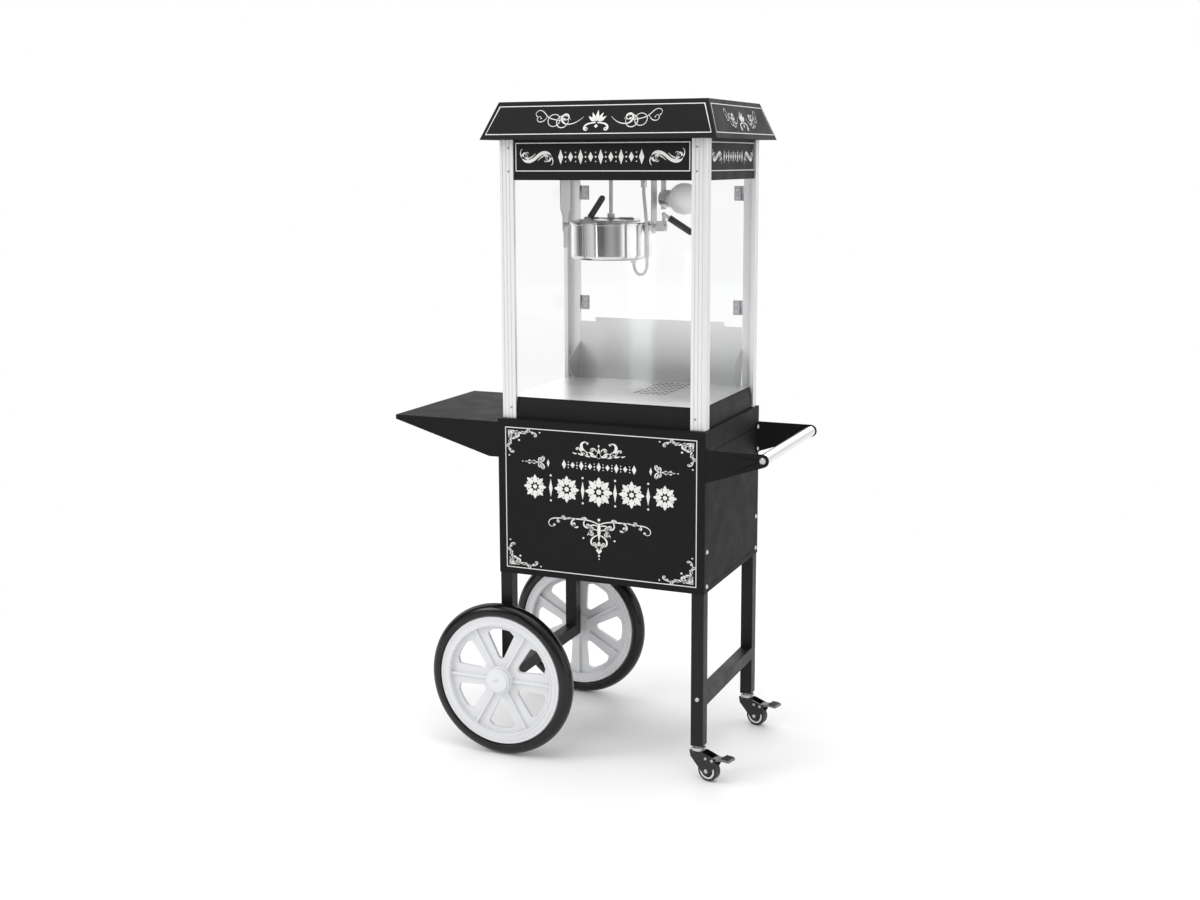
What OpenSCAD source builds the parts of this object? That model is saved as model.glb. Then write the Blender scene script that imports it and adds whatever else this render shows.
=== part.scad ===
// Retro popcorn machine on a cabinet cart with two large wheels and two braked casters.
// Millimetres. X runs along the front, Y to the rear, Z up, and the floor is z = 0.

/* [Cart] */
// Width of the cabinet
cab_w = 520; // [500:1:560]
// Depth of the cabinet
cab_d = 408; // [400:1:430]
// Height of the cabinet's underside above the floor
cab_z0 = 444; // [430:1:460]
// Height of the table top above the floor
cab_z1 = 820; // [800:1:840]
// Outside size of the square leg tube
leg_s = 30; // [28:1:32]
// Sheet thickness of the cart
sheet = 1.5; // [1:0.1:2]
// Length of the side shelf
shelf_len = 280; // [220:1:320]
// Reach of the push handle beyond the cabinet
handle_reach = 148; // [120:1:160]
// Diameter of the handle bar
bar_d = 26; // [22:1:30]

/* [Wheels and casters] */
// Radius of a large wheel over its tyre
wheel_r = 187; // [180:1:190]
// Width of a large wheel's tyre
tyre_w = 40; // [34:1:42]
// Outer radius of the rim, under the tyre
rim_r = 160; // [155:1:165]
// Radius of the wheel axle
axle_r = 6; // [5:0.5:7]
// Height of a caster, up to the leg
caster_h = 79; // [77:1:85]
// Direction in which the casters trail
caster_angle = -15; // [-30:1:0]

/* [Machine] */
// Width over the corner posts
mach_w = 510; // [500:1:514]
// Depth over the corner posts
mach_d = 388; // [384:1:392]
// Height of the base housing
base_h = 49; // [45:1:55]
// Height of the popcorn chamber, from the deck to the fascia
chamber_h = 510; // [505:1:530]
// Height of the fascia
fascia_h = 92; // [86:1:100]
// Height of the roof
roof_h = 86; // [70:1:100]
// Overhang of the roof at the sides
roof_over_x = 32.5; // [20:0.5:40]
// Overhang of the roof at the front and rear
roof_over_y = 35; // [20:0.5:40]

/* [Kettle] */
// Radius of the kettle's polished wall
pot_r = 97; // [95:0.5:98]
// Radius of the grips of the lid and of the tilting handle
grip_r = 8; // [7:0.5:8]

/* [Hidden] */
$fn = 48;

eps = 0.01;
run = 0.05;                 // radial running clearance of pins and shafts
gap = 0.3;                  // clearance between pieces that move past each other

off_x = (shelf_len - handle_reach) / 2;   // brings the middle of the whole object to x = 0
hw = cab_w / 2;
hd = cab_d / 2;
leg_o = hw - sheet;                       // outer face of the legs
leg_x = leg_o - leg_s / 2;                // centre line of the legs
leg_y = hd - sheet - leg_s / 2;
leg_wall = 2;
leg_top = cab_z1 - sheet;
bar_z0 = wheel_r - leg_s / 2;             // underside of the axle beam and the cross bar

shelf_z = cab_z1 - 9;                     // top of the side shelf
shelf_root_h = 85;
shelf_tip_h = 11;
shelf_flat = 25;                          // the flange keeps its height for this far

arm_t = 3;
arm_tip_r = 15;
arm_top = cab_z1 - 40;
arm_root_h = 76;
arm_flange = 24;
bar_x = hw + handle_reach - arm_tip_r;
bar_z = arm_top - arm_tip_r;

bolt_r = 3;
bolt_head_r = 5.5;
panel_bolt_z = [460, 541];
arm_bolt_z = [arm_top - 65, arm_top - 11];
shelf_bolt_z = [shelf_z - 70, shelf_z - 20];
brace_bolt_z = bar_z0 + 20;               // bolts that hold the right cross bar

door_hx = -leg_x + leg_s / 2 - 4;         // hinge axis of the cabinet door
door_hy = hd + 3.2;
door_x0 = door_hx + 7;
door_x1 = leg_x - leg_s / 2 - 1;
door_hinge_z = [500, 740];
knuckle_r = 4.5;
knuckle_h = 20;
door_pin_r = 2;

wheel_y = hd + 28;                        // middle plane of a large wheel
rim_w = 34;
ring_r = 134;                             // inner radius of the rim's outer ring
hub_r = 34;
hub_w = 40;
cap_h = 10;
spokes = 6;

stem_r = 5;
trail = 30;
cwheel_r = 25;
cwheel_w = 20;
fork_w = 27;                              // over the fork's two plates
fork_t = 2.5;
brake_x = 46;                             // pivot of the brake pedal
brake_z = 54;

mx = mach_w / 2;
my0 = -mach_d / 2 + 4;                    // the machine stands 4 mm towards the rear
my1 = mach_d / 2 + 4;
mz0 = cab_z1;
deck_z = mz0 + base_h;
deck_t = 1.5;
fascia_z0 = deck_z + chamber_h;
fascia_z1 = fascia_z0 + fascia_h;
ceiling_z = fascia_z0 + 12;
post_x = 36;
post_y = 28;
post_t = 10;
recess = 4;                               // the panels lie this far behind the posts' faces
band_h = 18;                              // sloped band along the top of the base
band_in = 5;
pane_t = 3;

apron_top = deck_z + 158;
apron_y = my1 - 15;                       // front face of the apron at its ends
apron_sag = 7;
apron_x = mx - post_x - 0.5;
pane_y = my1 - 8;                         // inner face of the rear doors
pane_z0 = apron_top + 6;
pane_z1 = fascia_z0 - 3;
pane_x0 = 0.75;
pane_x1 = mx - post_x - 8;
hinge_x = pane_x1 + 3.5;
hinge_y = my1 - 1.5;
clip_z = [pane_z0 + 12, pane_z1 - 51];    // lower ends of the hinge clips
clip_h = 36;
clip_pin_r = 1.5;
clip_knuckle_r = 3.5;

// Holes in the deck, through which unpopped kernels fall into the drawer
hole_cols = 6;
hole_rows = 8;
hole_x0 = 19;
hole_y0 = -22;
hole_step_x = 15;
hole_step_y = 24.5;
hole_r = 5;

drawer_x = [-8, 122];
drawer_y = [-36, my1 - 6];
drawer_z = [mz0 + 3, mz0 + 25];

kx = -53;                                 // the kettle hangs left of the middle
kz = 1270;                                // height of its trunnions
pot_top = kz + 6;
pot_low = kz - 70;
pan_z = kz - 58;
base_low = kz - 80;
rim_out = pot_r + 3;
lid_r = pot_r + 4;
lid_z = pot_top + 0.4;
lid_top = lid_z + 9.6;
base_round = 9;                           // rounding of the kettle's bottom edge
flap_y = -14;                             // hinge line of the lid's flap
flap_z = lid_top + 1.6;
flap_pin_r = 1.2;
flap_knuckle_r = 2.6;
flap_knuckle_x = 42;                      // inner end of the fixed knuckles, from the kettle's middle
fixed_knuckle_w = 20;
flap_knuckle_w = 14;
lid_grip_a = [-94, -38, lid_top - 1];
lid_grip_b = [-67, -21.5, lid_top + 48];
hang_left = -172;
hang_right = 56;
plate_t = 2.5;
trunnion_r = 5;
grip_a = [94, 4, kz + 19];
grip_b = [140, 24, kz - 14];

shaft_r = 4.5;
lid_slot_w = 16;                          // slot in the lid that clears the shaft as the kettle tips
lid_slot_end = 64;
slot_w = 5.4;                             // slot in the stirrer's cup that takes the shaft's tongue
cup_z = lid_top + 2;

lamp_x = 50;
lamp_y = 86;
lamp_z = 1332;
lamp_turn = -22;
globe_r = 38;
globe_x = 66;

cable_r = 4;
gland_h = 30;
// Route of the kettle cable, from its gland in the ceiling to the underside of the kettle
cable_route = [
    [47, -40, 1361], [47, -40, 1350], [48, -40, 1336], [50, -40, 1318], [52, -40, 1300],
    [53, -40, 1280], [54, -40, 1260], [54.5, -40, 1240], [55, -40, 1220], [55.5, -40, 1202],
    [55.5, -40, 1188], [54.5, -39.5, 1175], [51, -39, 1165], [45.5, -38, 1158.5],
    [38.5, -37, 1156], [31.5, -36.5, 1158], [25.5, -36, 1163.5], [22, -35.5, 1171],
    [20.5, -35, 1178], [20, -35, 1184]
];
cable_in = [20, -35];                     // where the cable enters the kettle's base

switch_x = [-70, -35, 0];
switch_z = fascia_z0 + 50;
inlet_x = 120;

// ---------- helpers ----------

// Moves the cart's own middle to its place in the whole object
module place() translate([off_x, 0, 0]) children();

// Box between two corners
module slab(lo, hi) translate(lo) cube(hi - lo);

// Cylinder along Y between y0 and y1
module rod_y(x, z, r, y0, y1) translate([x, y1, z]) rotate([90, 0, 0]) cylinder(r = r, h = y1 - y0);

// Cylinder along X between x0 and x1
module rod_x(y, z, r, x0, x1) translate([x0, y, z]) rotate([0, 90, 0]) cylinder(r = r, h = x1 - x0);

// Extrudes a shape drawn in X and Z along Y, from y0 to y1
module along_y(y0, y1) translate([0, y1, 0]) rotate([90, 0, 0]) linear_extrude(y1 - y0) children();

// Extrudes a shape drawn in Y and Z along X, from x0 to x1
module along_x(x0, x1) translate([x0, 0, 0]) rotate([90, 0, 90]) linear_extrude(x1 - x0) children();

// Both sides of the cart, and both ends of its depth
module both_x() { children(); mirror([1, 0, 0]) children(); }
module both_y() { children(); mirror([0, 1, 0]) children(); }

// Cylinder of radius r from point a to point b
module strut(a, b, r) {
    d = b - a;
    flat = norm([d[0], d[1]]);
    translate(a) rotate([0, atan2(flat, d[2]), atan2(d[1], d[0])]) cylinder(r = r, h = norm(d));
}

// Grip from a to b with a round end at b and a blind bore from a
module grip(a, b, r, bore_r, bore_h) {
    d = b - a;
    h = norm(d);
    steps = 8;
    dome = [for (i = [0:steps]) let (t = i * 90 / steps) [r * cos(t), h + r * sin(t)]];
    translate(a) rotate([0, atan2(norm([d[0], d[1]]), d[2]), atan2(d[1], d[0])]) rotate_extrude()
        polygon(concat([[bore_r, 0], [r - 1, 0], [r, 1]], dome, [[0, bore_h], [bore_r, bore_h]]));
}

// ---------- cart ----------

module cart_front_panel() color("#1d1d1f") place()
    slab([-hw, -hd, cab_z0], [hw, -hd + sheet, leg_top]);

// Places a shape at each bolt of the right side, along +X from the panel's face
module at_side_bolts(zs) {
    for (z = zs) both_y() translate([hw, -leg_y, z]) rotate([0, 90, 0]) children();
}

module bolt_holes() {
    both_x() at_side_bolts(panel_bolt_z) bolt_hole();
    at_side_bolts(arm_bolt_z) bolt_hole();
    mirror([1, 0, 0]) at_side_bolts(shelf_bolt_z) bolt_hole();
}

module bolt_hole() translate([0, 0, -8]) cylinder(r = bolt_r + run, h = 14);

// Places a shape on the front and rear faces of the right legs, at the cross bar
module at_brace_bolts() both_y()
    translate([leg_x, -leg_y - leg_s / 2, brace_bolt_z]) rotate([90, 0, 0]) children();

module cart_side_panels() color("#1d1d1f") place() difference() {
    both_x() slab([leg_o, -hd + sheet, cab_z0], [hw, hd, leg_top]);
    bolt_holes();
}

module cart_top() color("#1d1d1f") place()
    slab([-hw, -hd, leg_top], [hw, hd, cab_z1]);

module cart_floor() color("#1d1d1f") place() difference() {
    slab([-leg_o, -hd + sheet, cab_z0], [leg_o, hd - sheet, cab_z0 + sheet]);
    both_x() both_y()
        slab([leg_o - leg_s - gap, leg_y - leg_s / 2 - gap, cab_z0 - 1], [hw, hd, cab_z0 + 5]);
}

// Square tube standing on z0, with a closed foot
module leg(x, y, z0) translate([x, y, 0]) difference() {
    slab([-leg_s / 2, -leg_s / 2, z0], [leg_s / 2, leg_s / 2, leg_top]);
    slab([-leg_s / 2 + leg_wall, -leg_s / 2 + leg_wall, z0 + 4],
         [leg_s / 2 - leg_wall, leg_s / 2 - leg_wall, leg_top + 1]);
}

// Square tube along Y between a pair of legs
module cross_tube(x) difference() {
    slab([x - leg_s / 2, -leg_y + leg_s / 2 - eps, bar_z0],
         [x + leg_s / 2, leg_y - leg_s / 2 + eps, bar_z0 + leg_s]);
    slab([x - leg_s / 2 + leg_wall, -leg_y, bar_z0 + leg_wall],
         [x + leg_s / 2 - leg_wall, leg_y, bar_z0 + leg_s - leg_wall]);
}

module left_leg_frame() color("#242426") place() difference() {
    union() {
        leg(-leg_x, -leg_y, bar_z0);
        leg(-leg_x, leg_y, bar_z0);
        cross_tube(-leg_x);
    }
    rod_y(-leg_x, wheel_r, axle_r + run, -hd, hd);
    bolt_holes();
}

module right_leg_frame() color("#242426") place() difference() {
    union() {
        leg(leg_x, -leg_y, caster_h);
        leg(leg_x, leg_y, caster_h);
        cross_tube(leg_x);
    }
    both_y() translate([leg_x, leg_y, caster_h - 1]) cylinder(r = stem_r + run, h = 8);
    bolt_holes();
    at_brace_bolts() bolt_hole();
}

module wheel_axle() color("silver") place() {
    rod_y(-leg_x, wheel_r, axle_r, -wheel_y - hub_w / 2 + 2, wheel_y + hub_w / 2 - 2);
    both_y() rod_y(-leg_x, wheel_r, axle_r + 5, hd - sheet, wheel_y - hub_w / 2 - gap);
}

module side_shelf() color("#1d1d1f") place() difference() {
    tip = -hw - shelf_len;
    union() {
        slab([tip, -hd, shelf_z - sheet], [-hw, hd, shelf_z]);
        both_y() along_y(-hd, -hd + sheet) polygon([
            [tip, shelf_z], [tip, shelf_z - shelf_tip_h],
            [-hw - shelf_flat, shelf_z - shelf_root_h], [-hw, shelf_z - shelf_root_h], [-hw, shelf_z]
        ]);
        slab([tip, -hd, shelf_z - shelf_tip_h], [tip + sheet, hd, shelf_z]);
        slab([-hw - sheet, -hd, shelf_z - shelf_root_h], [-hw, hd, shelf_z]);
    }
    bolt_holes();
}

// Outline of a handle arm, from the cabinet's side to the round tip about the bar
module arm_2d() {
    dx = bar_x - hw;
    dz = bar_z - (arm_top - arm_root_h);
    slope = atan2(dz, dx) - asin(arm_tip_r / norm([dx, dz]));
    polygon([
        [hw, arm_top - arm_root_h], [hw, arm_top], [bar_x, arm_top], [bar_x, bar_z],
        [bar_x + arm_tip_r * sin(slope), bar_z - arm_tip_r * cos(slope)]
    ]);
    translate([bar_x, bar_z]) circle(r = arm_tip_r);
}

module handle_arms() color("#1d1d1f") place() difference() {
    both_y() {
        along_y(-hd, -hd + arm_t) arm_2d();
        slab([hw, -hd, arm_top - arm_root_h], [hw + arm_t, -hd + arm_flange, arm_top]);
    }
    rod_y(bar_x, bar_z, 4 + run, -hd - 1, hd + 1);
    bolt_holes();
}

module handle_bar() color("lightgray") place() difference() {
    rod_y(bar_x, bar_z, bar_d / 2, -hd + arm_t, hd - arm_t);
    both_y() rod_y(bar_x, bar_z, 4 + run, hd - 30, hd);
}

module button_bolt(r, head_r, head_h, reach) {
    cylinder(r1 = head_r, r2 = head_r * 0.6, h = head_h);
    translate([0, 0, -reach]) cylinder(r = r, h = reach);
}

module cart_bolts() color("silver") place() {
    both_x() at_side_bolts(panel_bolt_z) button_bolt(bolt_r, bolt_head_r, 3, 7);
    translate([arm_t, 0, 0]) at_side_bolts(arm_bolt_z) button_bolt(bolt_r, bolt_head_r, 3, 9);
    mirror([1, 0, 0]) translate([sheet, 0, 0])
        at_side_bolts(shelf_bolt_z) button_bolt(bolt_r, bolt_head_r, 3, 8);
    at_brace_bolts() button_bolt(bolt_r, bolt_head_r, 3, 7);
    both_y() translate([bar_x, -hd, bar_z]) rotate([90, 0, 0]) button_bolt(4, 8, 4.5, 24);
}

// ---------- cabinet door and the hinges ----------

module cart_door() color("#1d1d1f") place() difference() {
    union() {
        slab([door_x0, hd - sheet, cab_z0 + 3], [door_x1, hd, leg_top - 1]);
        slab([door_x1 - 10, hd - eps, 600], [door_x1 - 8.5, hd + 16, 670]);
        for (z = door_hinge_z) {
            slab([door_hx, hd - eps, z + knuckle_h + gap], [door_x0 + 30, hd + 1.5, z + 2 * knuckle_h]);
            translate([door_hx, door_hy, z + knuckle_h + gap])
                cylinder(r = knuckle_r, h = knuckle_h - gap);
        }
    }
    for (z = door_hinge_z) translate([door_hx, door_hy, z]) cylinder(r = door_pin_r + run, h = 60);
}

module hinge_leaves() color("silver") place() {
    for (z = door_hinge_z) {
        slab([-leg_o + 2, hd - sheet, z], [door_hx, hd + 0.5, z + knuckle_h]);
        translate([door_hx, door_hy, z]) cylinder(r = knuckle_r, h = knuckle_h);
        translate([door_hx, door_hy, z]) cylinder(r = door_pin_r, h = 2 * knuckle_h);
    }
    both_x() for (z = clip_z) {
        slab([-mx + post_x, hinge_y - 9, z + clip_h / 2 + gap],
             [-mx + post_x + 1.5, hinge_y + 1, z + clip_h]);
        slab([-mx + post_x, hinge_y - 1, z + clip_h / 2 + gap],
             [-hinge_x, hinge_y + 1, z + clip_h]);
        translate([-hinge_x, hinge_y, z + clip_h / 2 + gap])
            cylinder(r = clip_knuckle_r, h = clip_h / 2 - gap);
        translate([-hinge_x, hinge_y, z]) cylinder(r = clip_pin_r, h = clip_h);
    }
}

// ---------- large wheels ----------

// Opening between two spokes: a triangle with round corners, its point towards the hub
module spoke_window() {
    inner = hub_r + 26;
    outer = ring_r - 14;
    half = 360 / spokes / 2;
    round_r = 9;
    steps = 6;
    polygon(concat(
        [for (i = [0:steps]) let (a = 180 - 60 + i * 120 / steps)
            [inner + round_r * cos(a), round_r * sin(a)]],
        [for (i = [0:steps]) let (a = -half + 13 + i * (2 * half - 26) / steps)
            [outer * cos(a) + (i == 0 || i == steps ? -4 : 4), outer * sin(a)]]
    ));
}

module wheel_rim(side) color("gainsboro") place() translate([-leg_x, side * wheel_y, wheel_r])
    rotate([90, 0, 0]) rotate(side > 0 ? 180 / spokes : 0) difference() {
        union() {
            rotate_extrude($fn = 96) polygon([
                [ring_r, -rim_w / 2], [rim_r - 6, -rim_w / 2], [rim_r, -rim_w / 2 + 4],
                [rim_r, rim_w / 2 - 4], [rim_r - 6, rim_w / 2], [ring_r, rim_w / 2]
            ]);
            translate([0, 0, -5]) cylinder(r = ring_r + 1, h = 10, $fn = 96);
            translate([0, 0, -hub_w / 2]) cylinder(r = hub_r, h = hub_w);
            for (i = [0:spokes - 1]) rotate(i * 360 / spokes)
                translate([hub_r - 2, -3, -12]) cube([ring_r - hub_r + 4, 6, 24]);
        }
        for (i = [0:spokes - 1]) rotate((i + 0.5) * 360 / spokes)
            translate([0, 0, -20]) linear_extrude(40) spoke_window();
        translate([0, 0, -30]) cylinder(r = axle_r + run, h = 60);
    }

module wheel_tyre(side) color("#111111") place() translate([-leg_x, side * wheel_y, wheel_r])
    rotate([90, 0, 0]) rotate_extrude($fn = 96) difference() {
        translate([wheel_r - tyre_w / 2, 0]) circle(r = tyre_w / 2);
        translate([rim_r - 50, -30]) square([50, 60]);
    }

module hub_cap(side) color("gainsboro") place()
    translate([-leg_x, side * (wheel_y + hub_w / 2), wheel_r]) rotate([-90 * side, 0, 0]) {
        cylinder(r = 31, h = cap_h - 3);
        translate([0, 0, cap_h - 3]) cylinder(r1 = 31, r2 = 25, h = 3);
    }

// ---------- casters ----------

// Puts a caster drawn at the origin, trailing along +X, under a right-hand leg
module caster_place(side) place() translate([leg_x, side * leg_y, 0]) rotate(caster_angle) children();

module caster_stems() color("silver") for (side = [-1, 1]) caster_place(side) {
    translate([0, 0, 58]) cylinder(r = stem_r, h = 48);
    translate([0, 0, 68]) cylinder(r = 17, h = 7);
    translate([0, 0, 75]) cylinder(r = 11, h = caster_h - 75);
}

module fork_2d() {
    polygon([[-17, 67], [18, 67], [brake_x + 6, 58], [brake_x + 8, 44],
             [trail + 11, 21], [trail - 11, 19], [-14, 52]]);
    translate([trail, cwheel_r]) circle(r = 12);
}

module caster_fork(side) color("#141414") caster_place(side) difference() {
    union() {
        both_y() along_y(-fork_w / 2, -fork_w / 2 + fork_t) fork_2d();
        translate([0, 0, 61]) cylinder(r = 17.5, h = 6.6);
        rod_y(trail, cwheel_r, 4, -fork_w / 2 - 1.5, fork_w / 2 + 1.5);
        rod_y(brake_x, brake_z, 2, -fork_w / 2 - 1, fork_w / 2 + 1);
    }
    translate([0, 0, 50]) cylinder(r = stem_r + run, h = 30);
}

module caster_wheel(side) color("#1a1a1a") caster_place(side) difference() {
    rod_y(trail, cwheel_r, cwheel_r, -cwheel_w / 2, cwheel_w / 2);
    rod_y(trail, cwheel_r, 4 + run, -20, 20);
    both_y() rod_y(trail, cwheel_r, 15, cwheel_w / 2 - 3, 20);
}

module caster_brake(side) color("#202020") caster_place(side) difference() {
    w = fork_w / 2 - fork_t - gap;
    union() {
        rod_y(brake_x, brake_z, 5, -w, w);
        along_y(-w, w) polygon([[brake_x, brake_z + 1], [brake_x + 2, brake_z + 5],
            [brake_x + 32, brake_z + 9], [brake_x + 33, brake_z + 6], [brake_x + 4, brake_z - 2]]);
        slab([brake_x + 22, -14, brake_z + 5], [brake_x + 46, 14, brake_z + 11]);
    }
    rod_y(brake_x, brake_z, 2 + run, -20, 20);
}

// ---------- machine: base ----------

// Footprint that fits between and behind the four L-shaped posts, pulled in by d
module inner_plan(d) {
    translate([-mx + post_t + 0.5 + d, my0 + post_t + 0.5 + d])
        square([2 * (mx - post_t - 0.5 - d), mach_d - 2 * (post_t + 0.5 + d)]);
    translate([-mx + post_x + 0.2 + d, my0 + recess + d])
        square([2 * (mx - post_x - 0.2 - d), mach_d - 2 * (recess + d)]);
    translate([-mx + recess + d, my0 + post_y + 0.2 + d])
        square([2 * (mx - recess - d), mach_d - 2 * (post_y + 0.2 + d)]);
}

module base_housing() color("#1d1d1f") place() {
    front_x = mx - post_x - 0.2;
    side_y0 = my0 + post_y + 0.2;
    side_y1 = my1 - post_y - 0.2;
    zb = deck_z - band_h;
    difference() {
        translate([0, 0, mz0]) linear_extrude(base_h - band_h) inner_plan(0);
        translate([0, 0, mz0 + sheet]) linear_extrude(base_h) inner_plan(sheet);
        slab([drawer_x[0] - 1, my1 - 20, drawer_z[0] - 1],
             [drawer_x[1] + 1, my1 + 5, drawer_z[1] + 2]);
    }
    along_x(-front_x, front_x) polygon([
        [my0 + recess, zb - eps], [my0 + recess + band_in, deck_z],
        [my0 + recess + band_in + sheet, deck_z], [my0 + recess + sheet, zb - eps]
    ]);
    both_x() along_y(side_y0, side_y1) polygon([
        [-mx + recess, zb - eps], [-mx + recess + band_in, deck_z],
        [-mx + recess + band_in + sheet, deck_z], [-mx + recess + sheet, zb - eps]
    ]);
    slab([-front_x, my1 - recess - sheet, zb - eps], [front_x, my1 - recess, deck_z]);
}

module deck() color("silver") place() difference() {
    slab([-mx + post_t + 1, my0 + post_t + 0.7, deck_z],
         [mx - post_t - 1, my1 - post_t - 1, deck_z + deck_t]);
    for (i = [0:hole_cols - 1], j = [0:hole_rows - 1])
        translate([hole_x0 + i * hole_step_x, hole_y0 + j * hole_step_y, deck_z - 1])
            cylinder(r = hole_r, h = deck_t + 2);
}

module crumb_drawer() color("silver") place() {
    difference() {
        slab([drawer_x[0], drawer_y[0], drawer_z[0]], [drawer_x[1], drawer_y[1], drawer_z[1]]);
        slab([drawer_x[0] + 1, drawer_y[0] + 1, drawer_z[0] + 1],
             [drawer_x[1] - 1, drawer_y[1] - 1, drawer_z[1] + 1]);
    }
    slab([drawer_x[0] - 6, my1 - recess + gap, mz0 + 1],
         [drawer_x[1] + 6, my1 - recess + gap + 1.5, drawer_z[1] + 6]);
    slab([drawer_x[0] + 20, drawer_y[1] - eps, drawer_z[0] + 5],
         [drawer_x[0] + 110, my1 - recess + 1, drawer_z[0] + 7]);
    slab([drawer_x[0] + 40, my1 - recess + 1, drawer_z[0] + 12],
         [drawer_x[0] + 90, my1 + 12, drawer_z[0] + 13.5]);
}

// Bowed sheet of thickness t from z0 to z1, its middle standing back by sag
module arc_2d(y0, z0, z1, sag, t) {
    half = (z1 - z0) / 2;
    r = (half * half + sag * sag) / (2 * sag);
    a = asin(half / r);
    steps = 16;
    cy = y0 + sag - r;
    outer = [for (i = [0:steps]) let (b = -a + 2 * a * i / steps)
        [cy + (r + t) * cos(b), z0 + half + (r + t) * sin(b)]];
    inner = [for (i = [steps:-1:0]) let (b = -a + 2 * a * i / steps)
        [cy + r * cos(b), z0 + half + r * sin(b)]];
    polygon(concat(outer, inner));
}

module back_apron() color("silver") place() {
    z0 = deck_z + deck_t + 0.2;
    difference() {
        along_x(-apron_x, apron_x) arc_2d(apron_y, z0, apron_top, apron_sag, 1.2);
        both_x() slab([apron_x - 45, apron_y - 20, apron_top - 11],
                      [apron_x + 1, my1 + 20, apron_top + 5]);
    }
    both_x() along_x(apron_x - 1.2, apron_x) polygon([
        [apron_y + 6, deck_z + 93], [apron_y - 70, deck_z + 54], [apron_y - 58, deck_z + 24],
        [apron_y - 34, z0], [apron_y + 1, z0], [apron_y + 6, z0 + 40]
    ]);
}

// ---------- machine: posts and glazing ----------

// L-shaped section of the front-left post, with a round outer corner and grooves
module post_2d() {
    round_r = 5;
    difference() {
        union() {
            translate([-mx + round_r, my0]) square([post_x - round_r, post_t]);
            translate([-mx, my0 + round_r]) square([post_t, post_y - round_r]);
            translate([-mx + round_r, my0 + round_r]) circle(r = round_r);
        }
        for (i = [1:3]) translate([-mx + i * 9 - 1.2, my0 - 1]) square([2.4, 2.6]);
        for (i = [1:2]) translate([-mx - 1, my0 + i * 9 - 1.2]) square([2.6, 2.4]);
    }
}

module mirror_y_machine() {
    children();
    translate([0, my0 + my1, 0]) mirror([0, 1, 0]) children();
}

module corner_posts() color("whitesmoke") place()
    both_x() mirror_y_machine() translate([0, 0, mz0]) linear_extrude(fascia_z1 - mz0) post_2d();

module front_window() color([0.85, 0.92, 0.95, 0.3]) place()
    slab([-mx + post_t + 4, my0 + post_t + 0.7, deck_z + deck_t],
         [mx - post_t - 4, my0 + post_t + 0.7 + pane_t, ceiling_z - 1]);

module side_windows() color([0.85, 0.92, 0.95, 0.3]) place() both_x()
    slab([-mx + post_t + 0.4, my0 + post_t + 4.2, deck_z + deck_t + 0.2],
         [-mx + post_t + 0.4 + pane_t, my1 - post_t - 4, ceiling_z - 1]);

// ---------- machine: rear doors ----------

module door_pane() slab([-pane_x1, pane_y, pane_z0], [-pane_x0, pane_y + pane_t, pane_z1]);

module door_clips() difference() {
    for (z = clip_z) {
        slab([-pane_x1 - 0.5, pane_y - 2.5, z], [-pane_x1 + 16, pane_y + pane_t + 2.5, z + clip_h]);
        slab([-hinge_x, hinge_y - 1, z], [-pane_x1 + 4, hinge_y + 1, z + clip_h / 2]);
        translate([-hinge_x, hinge_y, z]) cylinder(r = clip_knuckle_r, h = clip_h / 2);
    }
    door_pane();
    for (z = clip_z) {
        translate([-hinge_x, hinge_y, z - 1]) cylinder(r = clip_pin_r + run, h = clip_h + 2);
        translate([-hinge_x, hinge_y, z + clip_h / 2])
            cylinder(r = clip_knuckle_r + gap, h = clip_h / 2 + 1);
    }
}

module door_pane_left() color([0.85, 0.92, 0.95, 0.3]) place() door_pane();
module door_pane_right() color([0.85, 0.92, 0.95, 0.3]) place() mirror([1, 0, 0]) door_pane();
module door_clips_left() color("gray") place() door_clips();
module door_clips_right() color("gray") place() mirror([1, 0, 0]) door_clips();

// ---------- machine: head ----------

module fascia_panels() color("#1d1d1f") place() {
    fx = mx - post_x - 0.2;
    y0 = my0 + recess;
    slab([-fx, y0, fascia_z0], [fx, y0 + sheet, fascia_z1]);
    slab([-fx, y0, fascia_z0], [fx, y0 + 5, fascia_z0 + sheet]);
    both_x() {
        slab([-mx + recess, my0 + post_y + 0.2, fascia_z0],
             [-mx + recess + sheet, my1 - post_y - 0.2, fascia_z1]);
        slab([-mx + recess, my0 + post_y + 0.2, fascia_z0],
             [-mx + recess + 5, my1 - post_y - 0.2, fascia_z0 + sheet]);
    }
}

module switch_cut(x) slab([x - 10, my1 - 20, switch_z - 13], [x + 10, my1 + 5, switch_z + 13]);

module control_panel() color("#1d1d1f") place() difference() {
    fx = mx - post_x - 0.2;
    slab([-fx, my1 - recess - sheet, fascia_z0], [fx, my1 - recess, fascia_z1]);
    for (x = switch_x) switch_cut(x);
    slab([inlet_x - 14, my1 - 20, switch_z - 10], [inlet_x + 14, my1 + 5, switch_z + 10]);
}

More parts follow.
